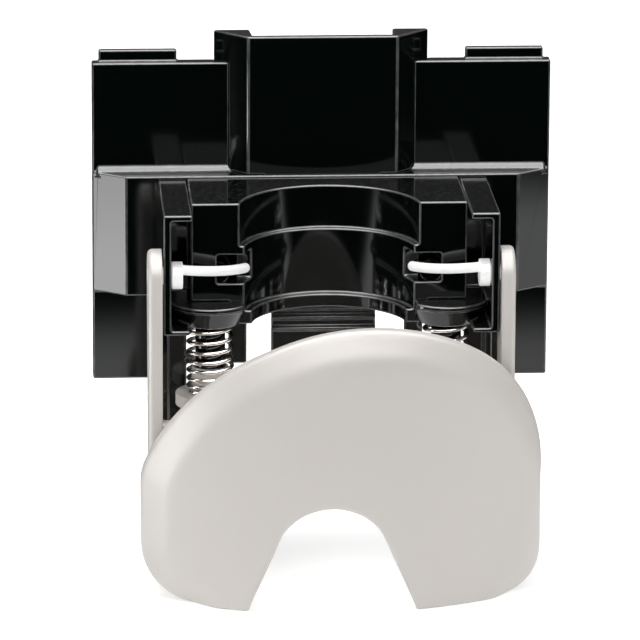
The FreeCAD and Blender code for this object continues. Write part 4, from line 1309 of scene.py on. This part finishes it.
def zone_sum(tree, zones, base):
    """A colour that rises from base to each zone's glow near the zone's direction."""
    place = node_at(tree, "ShaderNodeTexCoord", 0, 1)
    total = None
    for row, (axis, inner, outer, glow) in enumerate(zones):
        facing = node_at(tree, "ShaderNodeVectorMath", 1, row, operation="DOT_PRODUCT")
        facing.inputs[1].default_value = Vector(axis).normalized()
        rise = node_at(tree, "ShaderNodeMapRange", 2, row, interpolation_type="SMOOTHSTEP")
        fill(rise, From_Min=math.cos(math.radians(outer)), From_Max=math.cos(math.radians(inner)))
        scaled = node_at(tree, "ShaderNodeVectorMath", 3, row, operation="SCALE")
        scaled.inputs[0].default_value = glow
        added = node_at(tree, "ShaderNodeVectorMath", 4, row, operation="ADD")
        join(
            tree,
            (place, "Generated", facing, 0),
            (facing, "Value", rise, "Value"),
            (rise, "Result", scaled, "Scale"),
            (scaled, "Vector", added, 0))
        if total:
            tree.links.new(total, added.inputs[1])
        else:
            added.inputs[1].default_value = base
        total = added.outputs["Vector"]
    return total


# directions of the glows that the glossy surfaces mirror, with the angles in degrees from the
# direction at which each is full and at which it is gone
GLOWS = (
    ((0.0, -0.30, 1.0), 30, 62, (11.0, 11.0, 11.0)),
    ((0.0, -0.90, 0.46), 16, 34, (0.4, 0.38, 0.39)),
    ((0.0, 0.96, 0.30), 15, 40, (0.10, 0.085, 0.09)),
)
ROOM = (0.02, 0.02, 0.02)  # everywhere else in reflections


def studio_world(ambient):
    """White to the camera, an even ambient on surfaces and separate glows in reflections."""
    world = bpy.data.worlds.new("Studio")
    bpy.context.scene.world = world
    world.use_nodes = True
    tree = world.node_tree
    tree.nodes.clear()
    ray = node_at(tree, "ShaderNodeLightPath", 4, 3)
    shown = node_at(tree, "ShaderNodeMix", 5, 0, data_type="RGBA")
    shown.inputs["A"].default_value = (ambient, ambient, ambient, 1)
    seen = node_at(tree, "ShaderNodeMix", 6, 0, data_type="RGBA")
    seen.inputs["B"].default_value = (1, 1, 1, 1)
    glow = node_at(tree, "ShaderNodeBackground", 7, 0)
    output = node_at(tree, "ShaderNodeOutputWorld", 8, 0)
    tree.links.new(zone_sum(tree, GLOWS, ROOM), shown.inputs["B"])
    join(
        tree,
        (ray, "Is Glossy Ray", shown, "Factor"),
        (shown, "Result", seen, "A"),
        (ray, "Is Camera Ray", seen, "Factor"),
        (seen, "Result", glow, "Color"),
        (glow, "Background", output, "Surface"))


FLOOR_HALF = 12.0
FLOOR_WHITE = 0.42  # light added to the floor in the camera's own rays
FLOOR_MIRRORED = 1.45  # brightness of the floor's lit middle in reflections
# where that lit middle starts, is full, starts to fade and is gone along each axis
MIRRORED_FLOOR = (
    ("X", -0.42, -0.30, 0.36, 0.44),
    ("Y", -0.225, -0.165, 0.0, 0.05),
)


def studio_floor(level, colour):
    """A wide pale floor, white to the camera, whose lit middle alone shows in reflections."""
    mesh = bpy.data.meshes.new("studio_floor")
    corners = [(x * FLOOR_HALF, y * FLOOR_HALF, level)
               for x, y in ((-1, -1), (1, -1), (1, 1), (-1, 1))]
    mesh.from_pydata(corners, [], [(0, 1, 2, 3)])
    material = bpy.data.materials.new("studio_floor")
    material.use_nodes = True
    tree = material.node_tree
    output = tree.nodes["Material Output"]
    surface = tree.nodes["Principled BSDF"]
    fill(surface, Base_Color=colour, Roughness=0.9, Emission_Color=(1, 1, 1, 1))
    ray = node_at(tree, "ShaderNodeLightPath", -4, 2)
    lifted = node_at(tree, "ShaderNodeMath", -2, 2, operation="MULTIPLY")
    lifted.inputs[1].default_value = FLOOR_WHITE
    join(
        tree,
        (ray, "Is Camera Ray", lifted, 0),
        (lifted, "Value", surface, "Emission Strength"))
    place = node_at(tree, "ShaderNodeTexCoord", -6, 4)
    split = node_at(tree, "ShaderNodeSeparateXYZ", -5, 4)
    tree.links.new(place.outputs["Object"], split.inputs["Vector"])
    strength = None
    for row, (axis, start, full, fade, gone) in enumerate(MIRRORED_FLOOR):
        for ends in ((start, full), (gone, fade)):
            rise = node_at(tree, "ShaderNodeMapRange", -4, 4 + row,
                           interpolation_type="SMOOTHSTEP")
            low, high = sorted(ends)
            fill(rise, From_Min=low, From_Max=high, To_Min=float(ends[0] > ends[1]),
                 To_Max=float(ends[0] < ends[1]))
            tree.links.new(split.outputs[axis], rise.inputs["Value"])
            scaled = node_at(tree, "ShaderNodeMath", -3, 4 + row, operation="MULTIPLY")
            tree.links.new(rise.outputs["Result"], scaled.inputs[0])
            if strength:
                tree.links.new(strength, scaled.inputs[1])
            else:
                scaled.inputs[1].default_value = FLOOR_MIRRORED
            strength = scaled.outputs["Value"]
    mirrored = node_at(tree, "ShaderNodeEmission", -1, 4)
    tree.links.new(strength, mirrored.inputs["Strength"])
    below = node_at(tree, "ShaderNodeNewGeometry", 0, 5)
    clear = node_at(tree, "ShaderNodeBsdfTransparent", 0, 6)
    one_way = node_at(tree, "ShaderNodeMixShader", 1, 3)
    chosen = node_at(tree, "ShaderNodeMixShader", 0, 3)
    join(
        tree,
        (ray, "Is Glossy Ray", chosen, "Fac"),
        (surface, "BSDF", chosen, 1),
        (mirrored, "Emission", chosen, 2),
        (below, "Backfacing", one_way, "Fac"),
        (chosen, "Shader", one_way, 1),
        (clear, "BSDF", one_way, 2),
        (one_way, "Shader", output, "Surface"))
    mesh.materials.append(material)
    floor = scene_object("studio_floor", mesh)


# each softbox's place, width and height, its brightness setting and its share of that
SOFTBOXES = (
    ("top_softbox", (-0.15, 0.06, 1.0), 0.6, 0.6, "top_light", 1.0),
    ("front_softbox", (-0.45, -1.5, 0.5), 1.2, 0.9, "front_light", 1.0),
    ("left_softbox", (-1.1, -0.35, 0.35), 0.9, 0.9, "side_light", 0.7),
    ("right_softbox", (1.1, -0.35, 0.35), 0.9, 0.9, "side_light", 1.35),
)


class PUSHLEVER_OT_stage(bpy.types.Operator):
    """Set up the floor, the soft lights and the camera"""

    bl_idname = "pushlever.stage"
    bl_label = "Stage"

    def execute(self, context):
        scene = context.scene
        stage = scene.stage_settings
        low, high = CAD_BOX
        middle = (low + high) / 2
        studio_floor(low.z, scene.finish_colours.floor)
        studio_world(stage.ambient)
        for name, spot, width, height, setting, share in SOFTBOXES:
            softbox(name, spot, middle, width, height, getattr(stage, setting) * share)
        softbox("left_card", (-0.19, -0.075, -0.035), (0.0, -0.02, 0.0), 0.09, 0.085,
                stage.left_card, mirrored=True)
        data = bpy.data.cameras.new("studio_camera")
        data.sensor_width = 36.0
        data.lens = stage.lens
        data.clip_start, data.clip_end = 0.05, 60.0
        camera = scene_object("studio_camera", data)
        away = Vector((math.sin(stage.azimuth) * math.cos(stage.elevation),
                       -math.cos(stage.azimuth) * math.cos(stage.elevation),
                       math.sin(stage.elevation)))
        camera.location = middle + Vector(stage.aim) + away * stage.distance
        camera.rotation_mode = "QUATERNION"
        lean = Quaternion((0, 0, 1), stage.roll)
        camera.rotation_quaternion = (-away).to_track_quat("-Z", "Y") @ lean
        scene.camera = camera
        scene.view_settings.view_transform = "Standard"
        return {"FINISHED"}


# ---------------------------------------------------------------- panel and registration

STEPS = (
    PUSHLEVER_OT_finishes,
    PUSHLEVER_OT_mouldings,
    PUSHLEVER_OT_levers,
    PUSHLEVER_OT_springs,
    PUSHLEVER_OT_screws,
    PUSHLEVER_OT_paddle,
    PUSHLEVER_OT_stage,
)


class PUSHLEVER_PT_sidebar(bpy.types.Panel):
    """Lists the steps that build the unit and the values that they use"""

    bl_idname = "PUSHLEVER_PT_sidebar"
    bl_label = "Push-Lever Unit"
    bl_space_type = "VIEW_3D"
    bl_region_type = "UI"
    bl_category = "Push Lever"

    def draw(self, context):
        for step in STEPS:
            self.layout.operator(step.bl_idname)
        for name, group in SETTINGS:
            box = self.layout.box()
            box.label(text=group.__doc__)
            for field in group.__annotations__:
                box.prop(getattr(context.scene, name), field)


def register():
    for name, group in SETTINGS:
        bpy.utils.register_class(group)
        setattr(bpy.types.Scene, name, PointerProperty(type=group))
    for step in (*STEPS, PUSHLEVER_PT_sidebar):
        bpy.utils.register_class(step)


def unregister():
    for step in (PUSHLEVER_PT_sidebar, *reversed(STEPS)):
        bpy.utils.unregister_class(step)
    for name, group in reversed(SETTINGS):
        delattr(bpy.types.Scene, name)
        bpy.utils.unregister_class(group)


def main():
    register()
    bpy.ops.pushlever.finishes()
    bpy.ops.pushlever.mouldings()
    bpy.ops.pushlever.levers()
    bpy.ops.pushlever.springs()
    bpy.ops.pushlever.screws()
    bpy.ops.pushlever.paddle()
    bpy.ops.pushlever.stage()


if __name__ == "__main__":
    main()
